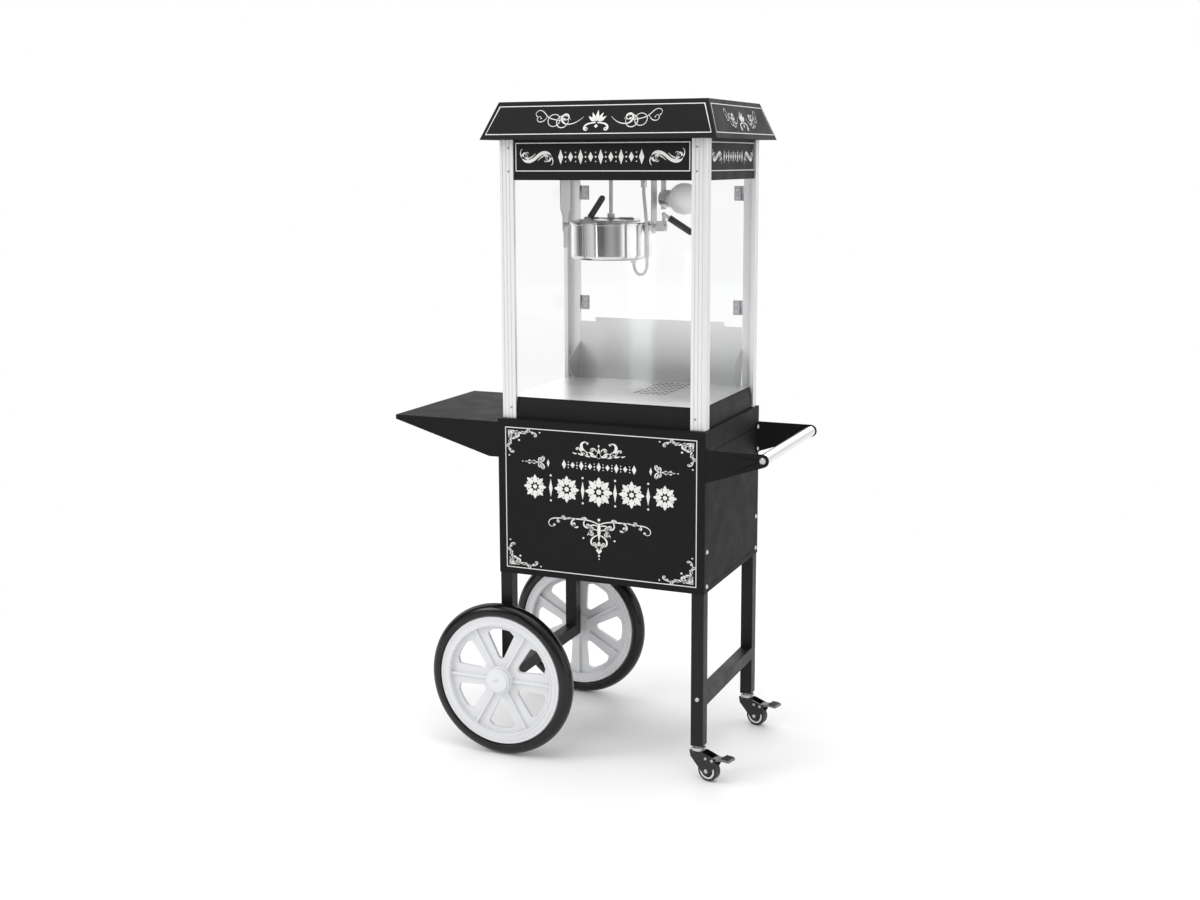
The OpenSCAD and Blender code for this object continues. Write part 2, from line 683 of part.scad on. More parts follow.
// Switch bodies behind and around the rockers, and the mains inlet
module panel_fittings() color("#101010") place() {
    y = my1 - recess;
    for (x = switch_x) difference() {
        union() {
            slab([x - 12, y, switch_z - 15], [x + 12, y + 2, switch_z + 15]);
            slab([x - 9.9, y - 22, switch_z - 12.9], [x + 9.9, y + eps, switch_z + 12.9]);
        }
        slab([x - 8, y - 12, switch_z - 11], [x + 8, y + 5, switch_z + 11]);
        rod_x(y - 4, switch_z, 1.5 + run, x - 9.5, x + 9.5);
    }
    difference() {
        union() {
            slab([inlet_x - 20, y, switch_z - 13], [inlet_x + 20, y + 3, switch_z + 13]);
            slab([inlet_x - 13.9, y - 24, switch_z - 9.9], [inlet_x + 13.9, y + eps, switch_z + 9.9]);
        }
        slab([inlet_x - 12, y - 16, switch_z - 8], [inlet_x + 12, y + 4, switch_z + 8]);
    }
    for (i = [-1:1]) slab([inlet_x + i * 7 - 1, y - 17, switch_z - 4 + abs(i) * 3],
                          [inlet_x + i * 7 + 1, y - 2, switch_z + 1]);
}

// Rocker, drawn at the origin and tipped to its off position
module rocker(x) color("#b01818") place() translate([x, my1 - recess - 4, switch_z]) {
    along_x(-7.5, 7.5) polygon([[-4, -4], [-4, 4], [2, 9], [6.2, 9.2], [4.6, 0], [3.4, -9.6], [0, -9.4]]);
    rod_x(0, 0, 1.5, -9.3, 9.3);
}

module rocker_motor() rocker(switch_x[0]);
module rocker_heat() rocker(switch_x[1]);
module rocker_light() rocker(switch_x[2]);

module ceiling_plate() color("silver") place() difference() {
    slab([-mx + post_t + 4, my0 + post_t + 4, ceiling_z],
         [mx - post_t - 4, my1 - post_t, ceiling_z + sheet]);
    translate([kx, 0, ceiling_z - 1]) cylinder(r = 7, h = 5);
}

// Frustum of the roof, pulled in by d on every side
module roof_solid(d) intersection() {
    along_y(my0 - 60, my1 + 60) polygon([
        [-mx - roof_over_x + d, fascia_z1], [mx + roof_over_x - d, fascia_z1],
        [mx - d, fascia_z1 + roof_h - d], [-mx + d, fascia_z1 + roof_h - d]
    ]);
    along_x(-mx - 60, mx + 60) polygon([
        [my0 - roof_over_y + d, fascia_z1], [my1 + roof_over_y - d, fascia_z1],
        [my1 - 3 - d, fascia_z1 + roof_h - d], [my0 + 3 + d, fascia_z1 + roof_h - d]
    ]);
}

module roof() color("#1d1d1f") place() difference() {
    roof_solid(0);
    intersection() {
        roof_solid(2);
        slab([-mx - 50, my0 - 50, fascia_z1 + sheet], [mx + 50, my1 + 50, fascia_z1 + roof_h]);
    }
    slab([-mx + 14, my0 + 14, fascia_z1 - 1], [mx - 14, my1 - 14, fascia_z1 + 5]);
}

// ---------- kettle ----------

module kettle_hangers() color("silver") place() difference() {
    union() {
        along_x(hang_left - plate_t, hang_left) polygon([
            [-28, ceiling_z], [28, ceiling_z], [28, kz + 40], [15, kz + 22], [15, kz - 16], [9, kz - 16],
            [9, kz - 56], [-9, kz - 56], [-9, kz - 16], [-15, kz - 16], [-15, kz + 22], [-28, kz + 40]
        ]);
        slab([hang_left - 22, -28, ceiling_z - 2], [hang_left, 28, ceiling_z]);
        along_x(hang_right, hang_right + plate_t) polygon([
            [-17, ceiling_z], [17, ceiling_z], [17, kz - 8], [8, kz - 18], [-8, kz - 18], [-17, kz - 8]
        ]);
        slab([hang_right, -17, ceiling_z - 2], [hang_right + 20, 17, ceiling_z]);
    }
    rod_x(0, kz, trunnion_r + run, hang_left - 10, hang_right + 10);
}

module kettle_pot() color("silver") place() {
    translate([kx, 0, 0]) rotate_extrude($fn = 96) polygon([
        [0, pan_z - 2], [pot_r - 2, pan_z - 2], [pot_r - 2, pot_low], [pot_r, pot_low],
        [pot_r, pot_top - 4], [rim_out, pot_top - 3], [rim_out, pot_top], [pot_r - 2, pot_top],
        [pot_r - 2, pan_z], [0, pan_z]
    ]);
    difference() {
        union() {
            slab([kx - pot_r - 4, -13, kz - 12], [kx - pot_r + 4, 13, kz + 2]);
            slab([kx + pot_r - 4, -13, kz - 12], [kx + pot_r + 4, 13, kz + 2]);
            rod_x(0, kz, trunnion_r, hang_left - 7, kx - pot_r + 4);
            rod_x(0, kz, trunnion_r, kx + pot_r - 4, hang_right + 34);
        }
        translate([kx, 0, kz - 20]) cylinder(r = pot_r - 1, h = 40, $fn = 96);
    }
}

// Bottom cover that holds the heater under the pan
module kettle_base() color("gainsboro") place() difference() {
    union() {
        translate([kx, 0, 0]) rotate_extrude($fn = 96) polygon(concat(
            [[0, base_low]],
            [for (i = [0:6]) let (a = -90 + i * 15)
                [pot_r - base_round * (1 - cos(a)), base_low + base_round * (1 + sin(a))]],
            [[pot_r, pot_low - 0.1], [pot_r - 3, pot_low - 0.1], [pot_r - 3, pot_low + 4],
             [pot_r - 6, pot_low + 4], [pot_r - 12, base_low + 3], [0, base_low + 3]]
        ));
        translate([kx, 0, base_low + 3 - eps]) cylinder(r = pot_r - 20, h = 14);
        translate([cable_in[0], cable_in[1], base_low - 6]) cylinder(r = 8, h = 6 + eps);
    }
    translate([cable_in[0], cable_in[1], base_low - 10]) cylinder(r = 2, h = 14);
}

// Lid shell, before it is split along the flap's hinge line
module lid_shell() translate([kx, 0, 0]) rotate_extrude($fn = 96) polygon([
    [6.5, lid_top - 1.6], [6.5, lid_top], [pot_r - 17, lid_top - 1.5], [pot_r - 8, lid_z + 3.5],
    [lid_r, lid_z + 3], [lid_r, lid_z], [pot_r - 8, lid_z], [pot_r - 18, lid_top - 3.2]
]);

// Rod on the flap's hinge line, from x0 over the width w
module on_flap_hinge(x0, w, r) rod_x(flap_y, flap_z, r, kx + x0, kx + x0 + w);

// The two knuckles of the fixed half, and the flap's two between them
module fixed_knuckles(r) for (x = [-flap_knuckle_x - fixed_knuckle_w, flap_knuckle_x])
    on_flap_hinge(x, fixed_knuckle_w, r);

module flap_knuckles(r) for (x = [-flap_knuckle_x + gap, flap_knuckle_x - flap_knuckle_w - gap])
    on_flap_hinge(x, flap_knuckle_w, r);

module lid_fixed() color("gainsboro") place() {
    difference() {
        lid_shell();
        slab([kx - 120, -120, lid_z - 20], [kx + 120, flap_y + gap, lid_top + 20]);
        slab([kx - lid_slot_w / 2, 0, lid_z - 20], [kx + lid_slot_w / 2, lid_slot_end, lid_top + 20]);
        on_flap_hinge(-flap_knuckle_x, 2 * flap_knuckle_x, flap_knuckle_r + gap);
    }
    difference() {
        union() {
            fixed_knuckles(flap_knuckle_r);
            for (x = [-flap_knuckle_x - fixed_knuckle_w, flap_knuckle_x])
                slab([kx + x, flap_y, flap_z - flap_knuckle_r],
                     [kx + x + fixed_knuckle_w, flap_y + 12, flap_z - 1]);
        }
        fixed_knuckles(flap_pin_r);
    }
    on_flap_hinge(-64, 128, flap_pin_r);
}

module lid_flap() color("gainsboro") place() {
    difference() {
        lid_shell();
        slab([kx - 120, flap_y - gap, lid_z - 20], [kx + 120, 120, lid_top + 20]);
        for (x = [-66, flap_knuckle_x - gap]) on_flap_hinge(x, 24 + gap, flap_knuckle_r + gap);
    }
    difference() {
        union() {
            flap_knuckles(flap_knuckle_r);
            for (x = [-flap_knuckle_x + gap, flap_knuckle_x - flap_knuckle_w - gap])
                slab([kx + x, flap_y - 12, flap_z - flap_knuckle_r],
                     [kx + x + flap_knuckle_w, flap_y, flap_z - 1]);
        }
        on_flap_hinge(-80, 160, flap_pin_r + run);
    }
    strut(lid_grip_a, lid_grip_a + 0.7 * (lid_grip_b - lid_grip_a), 3);
    translate([lid_grip_a[0], lid_grip_a[1], lid_top - 3]) cylinder(r = 8, h = 3.5);
}

module lid_grip() color("#111111") place() {
    d = lid_grip_b - lid_grip_a;
    grip(lid_grip_a + 4 / norm(d) * d, lid_grip_b, grip_r - 0.5, 3, 0.71 * norm(d) - 4);
}

module tilt_handle() color("silver") place() difference() {
    dir = (grip_b - grip_a) / norm(grip_b - grip_a);
    knee = grip_a - 15 * dir;
    union() {
        slab([hang_right + 12, -12, kz - 12], [hang_right + 30, 12, kz + 12]);
        strut([knee[0], knee[1], kz + 8], knee, 4);
        translate(knee) sphere(r = 5);
        strut(knee, grip_a + 20 * dir, 4);
    }
    rod_x(0, kz, trunnion_r, hang_right, hang_right + 50);
}

module tilt_grip() color("#111111") place() grip(grip_a, grip_b, grip_r, 4, 20.1);

// ---------- stirring drive ----------

module stirrer() color("silver") place() translate([kx, 0, 0]) {
    translate([0, 0, pan_z + 4]) cylinder(r = 4, h = cup_z - pan_z - 3);
    translate([0, 0, pan_z + 1]) cylinder(r = 7, h = 6);
    difference() {
        translate([0, 0, cup_z]) cylinder(r = 9, h = 10);
        translate([0, 0, cup_z + 4]) translate([-slot_w / 2, -12, 0]) cube([slot_w, 24, 10]);
    }
    for (side = [0, 180]) rotate(side) {
        translate([0, -4, pan_z + 2]) cube([78, 8, 3]);
        translate([46, -2, pan_z + 4]) cube([3, 4, 16]);
        translate([74, -2, pan_z + 4]) cube([3, 4, 22]);
        translate([46, -2, pan_z + 18]) cube([31, 4, 3]);
    }
}

module drive_shaft() color("silver") place() translate([kx, 0, 0]) {
    translate([-2.5, -7, cup_z + 6.3]) cube([5, 14, 6.7]);
    translate([0, 0, cup_z + 13 - eps]) cylinder(r = shaft_r, h = ceiling_z + 12 - cup_z - 13);
}

module drive_motor() color("dimgray") place() difference() {
    union() {
        slab([kx - 32, -36, ceiling_z + sheet], [kx + 32, 36, ceiling_z + 34]);
        translate([kx, 0, ceiling_z + 34 - eps]) cylinder(r = 27, h = 40);
    }
    translate([kx, 0, ceiling_z]) cylinder(r = shaft_r + run, h = 13);
}

// ---------- cable and lamp ----------

// Ring of points about p, in the plane square to d
function ring(p, d, r, sides) = let (
    u = cross(d, [0, 1, 0]) / norm(cross(d, [0, 1, 0])),
    v = cross(d, u) / norm(cross(d, u)))
    [for (i = [0:sides - 1]) p + r * (u * cos(i * 360 / sides) + v * sin(i * 360 / sides))];

// Closed tube of radius r swept along a route
module tube(route, r, sides) {
    n = len(route);
    dirs = [for (i = [0:n - 1]) route[min(i + 1, n - 1)] - route[max(i - 1, 0)]];
    polyhedron(
        points = [for (i = [0:n - 1])
            each ring(route[i], i == 0 ? [0, 0, -1] : i == n - 1 ? [0, 0, 1] : dirs[i], r, sides)],
        faces = concat(
            [[for (i = [sides - 1:-1:0]) i]],
            [for (k = [0:n - 2], i = [0:sides - 1])
                [k * sides + i, k * sides + (i + 1) % sides, (k + 1) * sides + (i + 1) % sides]],
            [for (k = [0:n - 2], i = [0:sides - 1])
                [k * sides + i, (k + 1) * sides + (i + 1) % sides, (k + 1) * sides + i]],
            [[for (i = [0:sides - 1]) (n - 1) * sides + i]]
        )
    );
}

module kettle_cable() color("silver") place() tube(cable_route, cable_r, 10);

module cable_gland() color("gainsboro") place() translate([cable_route[0][0], cable_route[0][1], 0]) {
    translate([0, 0, ceiling_z - gland_h]) cylinder(r = 7, h = gland_h - 8);
    translate([0, 0, ceiling_z - 8]) cylinder(r = 11, h = 8, $fn = 6);
}

module lamp_place() place() translate([lamp_x, lamp_y, lamp_z]) rotate(lamp_turn) children();

module lamp_bracket() color("gainsboro") lamp_place() {
    slab([-2, -8, -26], [0, 8, ceiling_z - lamp_z]);
    slab([-20, -8, ceiling_z - lamp_z - 2], [0, 8, ceiling_z - lamp_z]);
    rod_x(0, 0, 21, -eps, 20);
}

module lamp_bulb() color([0.95, 0.95, 0.92, 0.8]) lamp_place() {
    rod_x(0, 0, 14, 20, globe_x - globe_r + 8);
    translate([globe_x, 0, 0]) sphere(r = globe_r);
}

cart_front_panel();
cart_side_panels();
cart_top();
cart_floor();
left_leg_frame();
right_leg_frame();
wheel_axle();
side_shelf();
handle_arms();
handle_bar();
cart_bolts();
cart_door();
hinge_leaves();
wheel_rim(-1);  // rim_front
wheel_tyre(-1);  // tyre_front
hub_cap(-1);  // hub_cap_front
wheel_rim(1);  // rim_rear
wheel_tyre(1);  // tyre_rear
hub_cap(1);  // hub_cap_rear
caster_stems();
caster_fork(-1);  // fork_front
caster_wheel(-1);  // caster_wheel_front
caster_brake(-1);  // brake_front
caster_fork(1);  // fork_rear
caster_wheel(1);  // caster_wheel_rear
caster_brake(1);  // brake_rear
base_housing();
deck();
crumb_drawer();
back_apron();
corner_posts();
front_window();
side_windows();
fascia_panels();
control_panel();
panel_fittings();
rocker_motor();
rocker_heat();
rocker_light();
ceiling_plate();
roof();
door_pane_left();
door_clips_left();
door_pane_right();
door_clips_right();
kettle_hangers();
kettle_pot();
kettle_base();
lid_fixed();
lid_flap();
lid_grip();
tilt_handle();
tilt_grip();
stirrer();
drive_shaft();
drive_motor();
kettle_cable();
cable_gland();
lamp_bracket();
lamp_bulb();
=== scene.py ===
import math

import bpy
from mathutils import Matrix, Vector


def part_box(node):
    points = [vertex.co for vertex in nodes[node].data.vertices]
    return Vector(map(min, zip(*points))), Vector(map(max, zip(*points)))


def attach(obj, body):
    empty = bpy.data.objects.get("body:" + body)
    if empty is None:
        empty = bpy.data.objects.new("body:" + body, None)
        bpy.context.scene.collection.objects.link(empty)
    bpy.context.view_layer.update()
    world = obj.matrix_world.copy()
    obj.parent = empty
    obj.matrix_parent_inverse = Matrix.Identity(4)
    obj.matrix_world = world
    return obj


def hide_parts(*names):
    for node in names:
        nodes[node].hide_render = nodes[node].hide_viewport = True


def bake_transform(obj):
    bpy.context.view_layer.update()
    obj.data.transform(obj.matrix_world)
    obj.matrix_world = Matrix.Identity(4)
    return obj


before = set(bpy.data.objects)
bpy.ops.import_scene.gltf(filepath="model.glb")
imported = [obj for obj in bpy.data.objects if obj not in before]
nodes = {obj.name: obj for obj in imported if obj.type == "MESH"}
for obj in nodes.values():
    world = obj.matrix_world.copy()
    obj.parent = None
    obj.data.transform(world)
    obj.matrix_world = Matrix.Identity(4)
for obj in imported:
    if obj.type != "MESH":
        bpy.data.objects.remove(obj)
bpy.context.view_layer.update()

# Sizes below are in millimetres in the cart's own frame, whose middle is the middle of the cabinet.
cart_lo, cart_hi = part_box("cart_top")
OFF_X = (cart_lo.x + cart_hi.x) / 2


def P(x, y, z):
    """A point given in millimetres in the cart's frame, in metres in the row frame."""
    return Vector((x / 1000 + OFF_X, y / 1000, z / 1000))


# ---------- camera ----------


def make_camera():
    yaw, pitch, roll = math.radians(23.143), math.radians(8.77), math.radians(-0.203)
    ahead = Vector((-math.sin(yaw) * math.cos(pitch), math.cos(yaw) * math.cos(pitch), -math.sin(pitch)))
    level = Vector((math.cos(yaw), math.sin(yaw), 0))
    above = level.cross(ahead)
    right = level * math.cos(roll) + above * math.sin(roll)
    up = above * math.cos(roll) - level * math.sin(roll)
    data = bpy.data.cameras.new("camera")
    data.sensor_width, data.lens = 36, 44.49
    data.shift_y = -0.05
    data.clip_start, data.clip_end = 0.05, 60
    cam = bpy.data.objects.new("camera", data)
    bpy.context.scene.collection.objects.link(cam)
    turn = Matrix((right, up, -ahead)).transposed()
    cam.matrix_world = Matrix.Translation(P(1327.0, -3299.5, 1421.7)) @ turn.to_4x4()
    bpy.context.scene.camera = cam


make_camera()

# ---------- materials ----------


class Nodes:
    """Short calls for building one material's node tree: a new material's by its name, or that of a material given."""

    def __init__(self, name, mat=None):
        self.mat = mat or bpy.data.materials.new(name)
        self.mat.use_nodes = True
        self.tree = self.mat.node_tree
        self.bsdf = self.tree.nodes["Principled BSDF"]

    def new(self, kind, **values):
        n = self.tree.nodes.new(kind)
        for key, value in values.items():
            setattr(n, key, value)
        return n

    def link(self, a, b):
        self.tree.links.new(a, b)

    def noise(self, freq, stretch=(1, 1, 1), detail=4, rough=0.55):
        where = self.new("ShaderNodeTexCoord")
        mapping = self.new("ShaderNodeMapping")
        mapping.inputs["Scale"].default_value = stretch
        tex = self.new("ShaderNodeTexNoise")
        tex.inputs["Scale"].default_value = freq
        tex.inputs["Detail"].default_value = detail
        tex.inputs["Roughness"].default_value = rough
        self.link(where.outputs["Object"], mapping.inputs["Vector"])
        self.link(mapping.outputs["Vector"], tex.inputs["Vector"])
        return tex.outputs["Fac"]

    def spread(self, value, low, high, a=0.3, b=0.7):
        r = self.new("ShaderNodeMapRange")
        r.inputs["From Min"].default_value, r.inputs["From Max"].default_value = a, b
        r.inputs["To Min"].default_value, r.inputs["To Max"].default_value = low, high
        self.link(value, r.inputs["Value"])
        return r.outputs["Result"]

    def mix(self, share, a, b):
        m = self.new("ShaderNodeMix", data_type="RGBA")
        self.link(share, m.inputs["Factor"])
        for socket, v in ((m.inputs[6], a), (m.inputs[7], b)):
            if isinstance(v, tuple):
                socket.default_value = (*v, 1)
            else:
                self.link(v, socket)
        return m.outputs[2]

    def edge(self, radius, low=0.02, high=0.35):
        """About 1 on sharp outer and inner edges, 0 elsewhere."""
        bevel = self.new("ShaderNodeBevel", samples=4)
        bevel.inputs["Radius"].default_value = radius
        geo = self.new("ShaderNodeNewGeometry")
        dot = self.new("ShaderNodeVectorMath", operation="DOT_PRODUCT")
        self.link(bevel.outputs["Normal"], dot.inputs[0])
        self.link(geo.outputs["Normal"], dot.inputs[1])
        return self.spread(dot.outputs["Value"], 1, 0, 1 - high, 1 - low)

    def bump(self, value, height, strength=1.0):
        b = self.new("ShaderNodeBump")
        b.inputs["Strength"].default_value = strength
        b.inputs["Distance"].default_value = height
        self.link(value, b.inputs["Height"])
        self.link(b.outputs["Normal"], self.bsdf.inputs["Normal"])

    def set(self, **values):
        for key, value in values.items():
            self.bsdf.inputs[key.replace("_", " ")].default_value = value


def shades(c, share):
    return tuple(v * (1 - share) for v in c), tuple(min(1, v * (1 + share)) for v in c)


def coated(name, colour, rough, specular=0.35, grain=1400, height=0.00006, wear=0.25, tone=0.1, patch=6):
    """Paint, powder coat, moulded plastic or rubber: mottled a little, with a fine pebbled surface and paler edges."""
    m = Nodes(name)
    low, high = shades(colour, tone)
    cloud = m.mix(m.spread(m.noise(patch), 0, 1), low, high)
    rubbed = tuple(min(1, v * 1.6 + 0.05) for v in colour)
    worn = m.new("ShaderNodeMath", operation="MULTIPLY")
    m.link(m.edge(0.0007), worn.inputs[0])
    m.link(m.spread(m.noise(55), 0, wear, 0.42, 0.62), worn.inputs[1])
    m.link(m.mix(worn.outputs[0], cloud, rubbed), m.bsdf.inputs["Base Color"])
    m.link(m.spread(m.noise(18), rough - 0.05, rough + 0.06), m.bsdf.inputs["Roughness"])
    m.bump(m.noise(grain, detail=2), height, 0.6)
    m.set(Specular_IOR_Level=specular)
    return m.mat


def metal(name, colour, rough, stretch=(1, 1, 1), freq=300, vary=0.06, tone=0.06, height=0.00002, smudge=0.05,
          metallic=1.0):
    """Bare metal: stretch gives the brushing, with fine lines along the axis whose stretch is small."""
    m = Nodes(name)
    low, high = shades(colour, tone)
    lines = m.noise(freq, stretch, 3, 0.7)
    m.link(m.mix(m.spread(lines, 0, 1), low, high), m.bsdf.inputs["Base Color"])
    added = m.new("ShaderNodeMath", operation="ADD")
    m.link(m.spread(lines, rough - vary, rough + vary), added.inputs[0])
    m.link(m.spread(m.noise(9), 0, smudge), added.inputs[1])
    m.link(added.outputs[0], m.bsdf.inputs["Roughness"])
    if height:
        m.bump(lines, height, 0.5)
    m.set(Metallic=metallic)
    return m.mat


def clear(name, tint, rough=0.03):
    """Thin clear sheet: it shines as a mirror does for the share of light that such a sheet returns."""
    m = Nodes(name)
    facing = m.new("ShaderNodeLayerWeight")
    facing.inputs["Blend"].default_value = 0.5
    steep = m.new("ShaderNodeMath", operation="POWER")
    m.link(facing.outputs["Facing"], steep.inputs[0])
    steep.inputs[1].default_value = 5.0
    shine = m.spread(steep.outputs[0], 0.015, 0.35, 0, 1)
    dust = m.spread(m.noise(30), 0, 0.006)
    both = m.new("ShaderNodeMath", operation="ADD")
    m.link(shine, both.inputs[0])
    m.link(dust, both.inputs[1])
    edge = m.new("ShaderNodeMath", operation="MAXIMUM")
    m.link(both.outputs[0], edge.inputs[0])
    m.link(m.spread(m.edge(0.0012), 0, 0.25, 0, 1), edge.inputs[1])
    m.link(edge.outputs[0], m.bsdf.inputs["Alpha"])
    m.link(m.mix(m.noise(12), tint, tuple(min(1, t * 1.06) for t in tint)), m.bsdf.inputs["Base Color"])
    m.link(m.spread(m.noise(40), rough, rough + 0.03), m.bsdf.inputs["Roughness"])
    m.set(Metallic=0.85)
    return m.mat


BLACK = (0.0085, 0.0085, 0.0092)
M = {
    "cart": coated("powder_black_cart", BLACK, 0.6, 0.14, tone=0.05),
    "leg": coated("powder_black_tube", BLACK, 0.45, 0.25),
    "machine": coated("powder_black_machine", BLACK, 0.52, 0.18, grain=1800, height=0.00004),
    "print": coated("print_ivory", (0.72, 0.72, 0.70), 0.5, 0.3, wear=0.0, tone=0.05, patch=30, height=0.00002),
    "axle": metal("turned_steel", (0.55, 0.55, 0.56), 0.28, (1, 40, 1), 120),
    "chrome": metal("bright_chrome", (0.80, 0.80, 0.82), 0.07, (1, 0.05, 1), 90, 0.02, 0.02, 0.0, smudge=0.03),
    "zinc": metal("zinc_bolt", (0.60, 0.60, 0.60), 0.32, freq=900, vary=0.08),
    "rim": coated("wheel_plastic", (0.68, 0.685, 0.70), 0.34, 0.4, grain=900, height=0.00005, wear=0.0, tone=0.04),
    "tyre": coated("tyre_rubber", (0.0035, 0.0035, 0.004), 0.2, 0.4, grain=700, height=0.00008, wear=0.0),
    "nylon": coated("caster_nylon", (0.004, 0.004, 0.0045), 0.2, 0.5, wear=0.2),
    "tread": coated("caster_tread", (0.014, 0.014, 0.015), 0.42, 0.45),
    "deck": metal("brushed_sheet_x", (0.80, 0.80, 0.80), 0.27, (0.02, 1, 1), 900, 0.04, 0.03, 0.000005, metallic=0.8),
    "apron": metal("brushed_sheet_apron", (0.92, 0.92, 0.92), 0.34, (0.02, 1, 1), 900, 0.03, 0.03, 0.000004,
                   metallic=0.85),
    "steel": metal("plain_sheet", (0.62, 0.62, 0.63), 0.30, (1, 1, 0.04), 500),
    "post": metal("anodised_post", (0.80, 0.80, 0.81), 0.34, (1, 1, 0.012), 1600, 0.05, 0.03, 0.000008, metallic=0.45),
    "clear": clear("clear_acrylic", (0.80, 0.84, 0.85)),
    "clip": metal("satin_nickel", (0.42, 0.42, 0.43), 0.36, freq=800, vary=0.07, tone=0.10),
    "switch": coated("black_plastic", (0.011, 0.011, 0.012), 0.35, 0.5),
    "rocker": coated("red_rocker", (0.45, 0.018, 0.015), 0.22, 0.55, grain=500, height=0.00002, tone=0.12, patch=60),
    "kettle": metal("polished_kettle", (0.74, 0.74, 0.75), 0.07, (1, 1, 30), 90, 0.025, 0.03, 0.000004, smudge=0.04),
    "lid": metal("spun_lid", (0.40, 0.40, 0.41), 0.16, (1, 1, 20), 200, 0.05, 0.06, 0.000006),
    "grip": coated("black_phenolic", (0.006, 0.006, 0.007), 0.16, 0.6, grain=300, height=0.00001, wear=0.0),
    "motor": coated("motor_casting", (0.16, 0.16, 0.165), 0.5, 0.4, grain=500, height=0.0001),
    "gland": metal("nickel_gland", (0.66, 0.66, 0.66), 0.22, freq=600),
    "nickel": metal("bright_nickel", (0.72, 0.72, 0.72), 0.22, freq=500),
    "pedal": metal("dark_zinc_pedal", (0.20, 0.20, 0.205), 0.34, freq=700, vary=0.08),
    "rear_black": coated("powder_black_panel", BLACK, 0.40, 0.3),
}


def frosted():
    m = Nodes("frosted_glass")
    m.link(m.mix(m.spread(m.noise(25), 0, 1), (0.86, 0.86, 0.86), (0.94, 0.94, 0.93)), m.bsdf.inputs["Base Color"])
    m.link(m.spread(m.noise(60), 0.24, 0.34), m.bsdf.inputs["Roughness"])
    m.bump(m.noise(1500, detail=2), 0.00002, 0.5)
    m.set(Subsurface_Weight=0.3, Subsurface_Radius=(0.02, 0.02, 0.02), Specular_IOR_Level=0.5)
    return m.mat


def braid():
    m = Nodes("braided_sleeve")
    lines = m.noise(2600, detail=2)
    m.link(m.mix(m.spread(lines, 0, 1), (0.34, 0.34, 0.35), (0.66, 0.66, 0.66)), m.bsdf.inputs["Base Color"])
    m.link(m.spread(m.noise(400), 0.32, 0.5), m.bsdf.inputs["Roughness"])
    m.bump(lines, 0.0002, 0.6)
    m.set(Metallic=0.75)
    return m.mat


def shade_holes(mat):
    """Turns the upright walls of a sheet's holes to dull black, as the holes take no light from the chamber."""
    m = Nodes(mat.name, mat)
    geo = m.new("ShaderNodeNewGeometry")
    parts = m.new("ShaderNodeSeparateXYZ")
    m.link(geo.outputs["True Normal"], parts.inputs[0])
    flat = m.new("ShaderNodeMath", operation="ABSOLUTE")
    m.link(parts.outputs["Z"], flat.inputs[0])
    base = m.bsdf.inputs["Base Color"]
    sheet = base.links[0].from_socket
    m.link(m.mix(m.spread(flat.outputs[0], 1, 0, 0.7, 0.95), sheet, (0.002, 0.002, 0.002)), base)
    m.link(m.spread(flat.outputs[0], 0, 0.8, 0.7, 0.95), m.bsdf.inputs["Metallic"])
    m.link(m.spread(flat.outputs[0], 0, 0.5, 0.7, 0.95), m.bsdf.inputs["Specular IOR Level"])


def shade_foot(mat):
    """Darkens a curved sheet toward its foot, where it faces the dark underside of the roof."""
    m = Nodes(mat.name, mat)
    where = m.new("ShaderNodeTexCoord")
    parts = m.new("ShaderNodeSeparateXYZ")
    m.link(where.outputs["Generated"], parts.inputs[0])
    base = m.bsdf.inputs["Base Color"]
    sheet = base.links[0].from_socket
    m.link(m.mix(m.spread(parts.outputs["Z"], 0, 1, 0.15, 0.95), (0.46, 0.46, 0.46), sheet), base)


shade_holes(M["deck"])
shade_foot(M["apron"])
M["glass"] = frosted()
M["braid"] = braid()

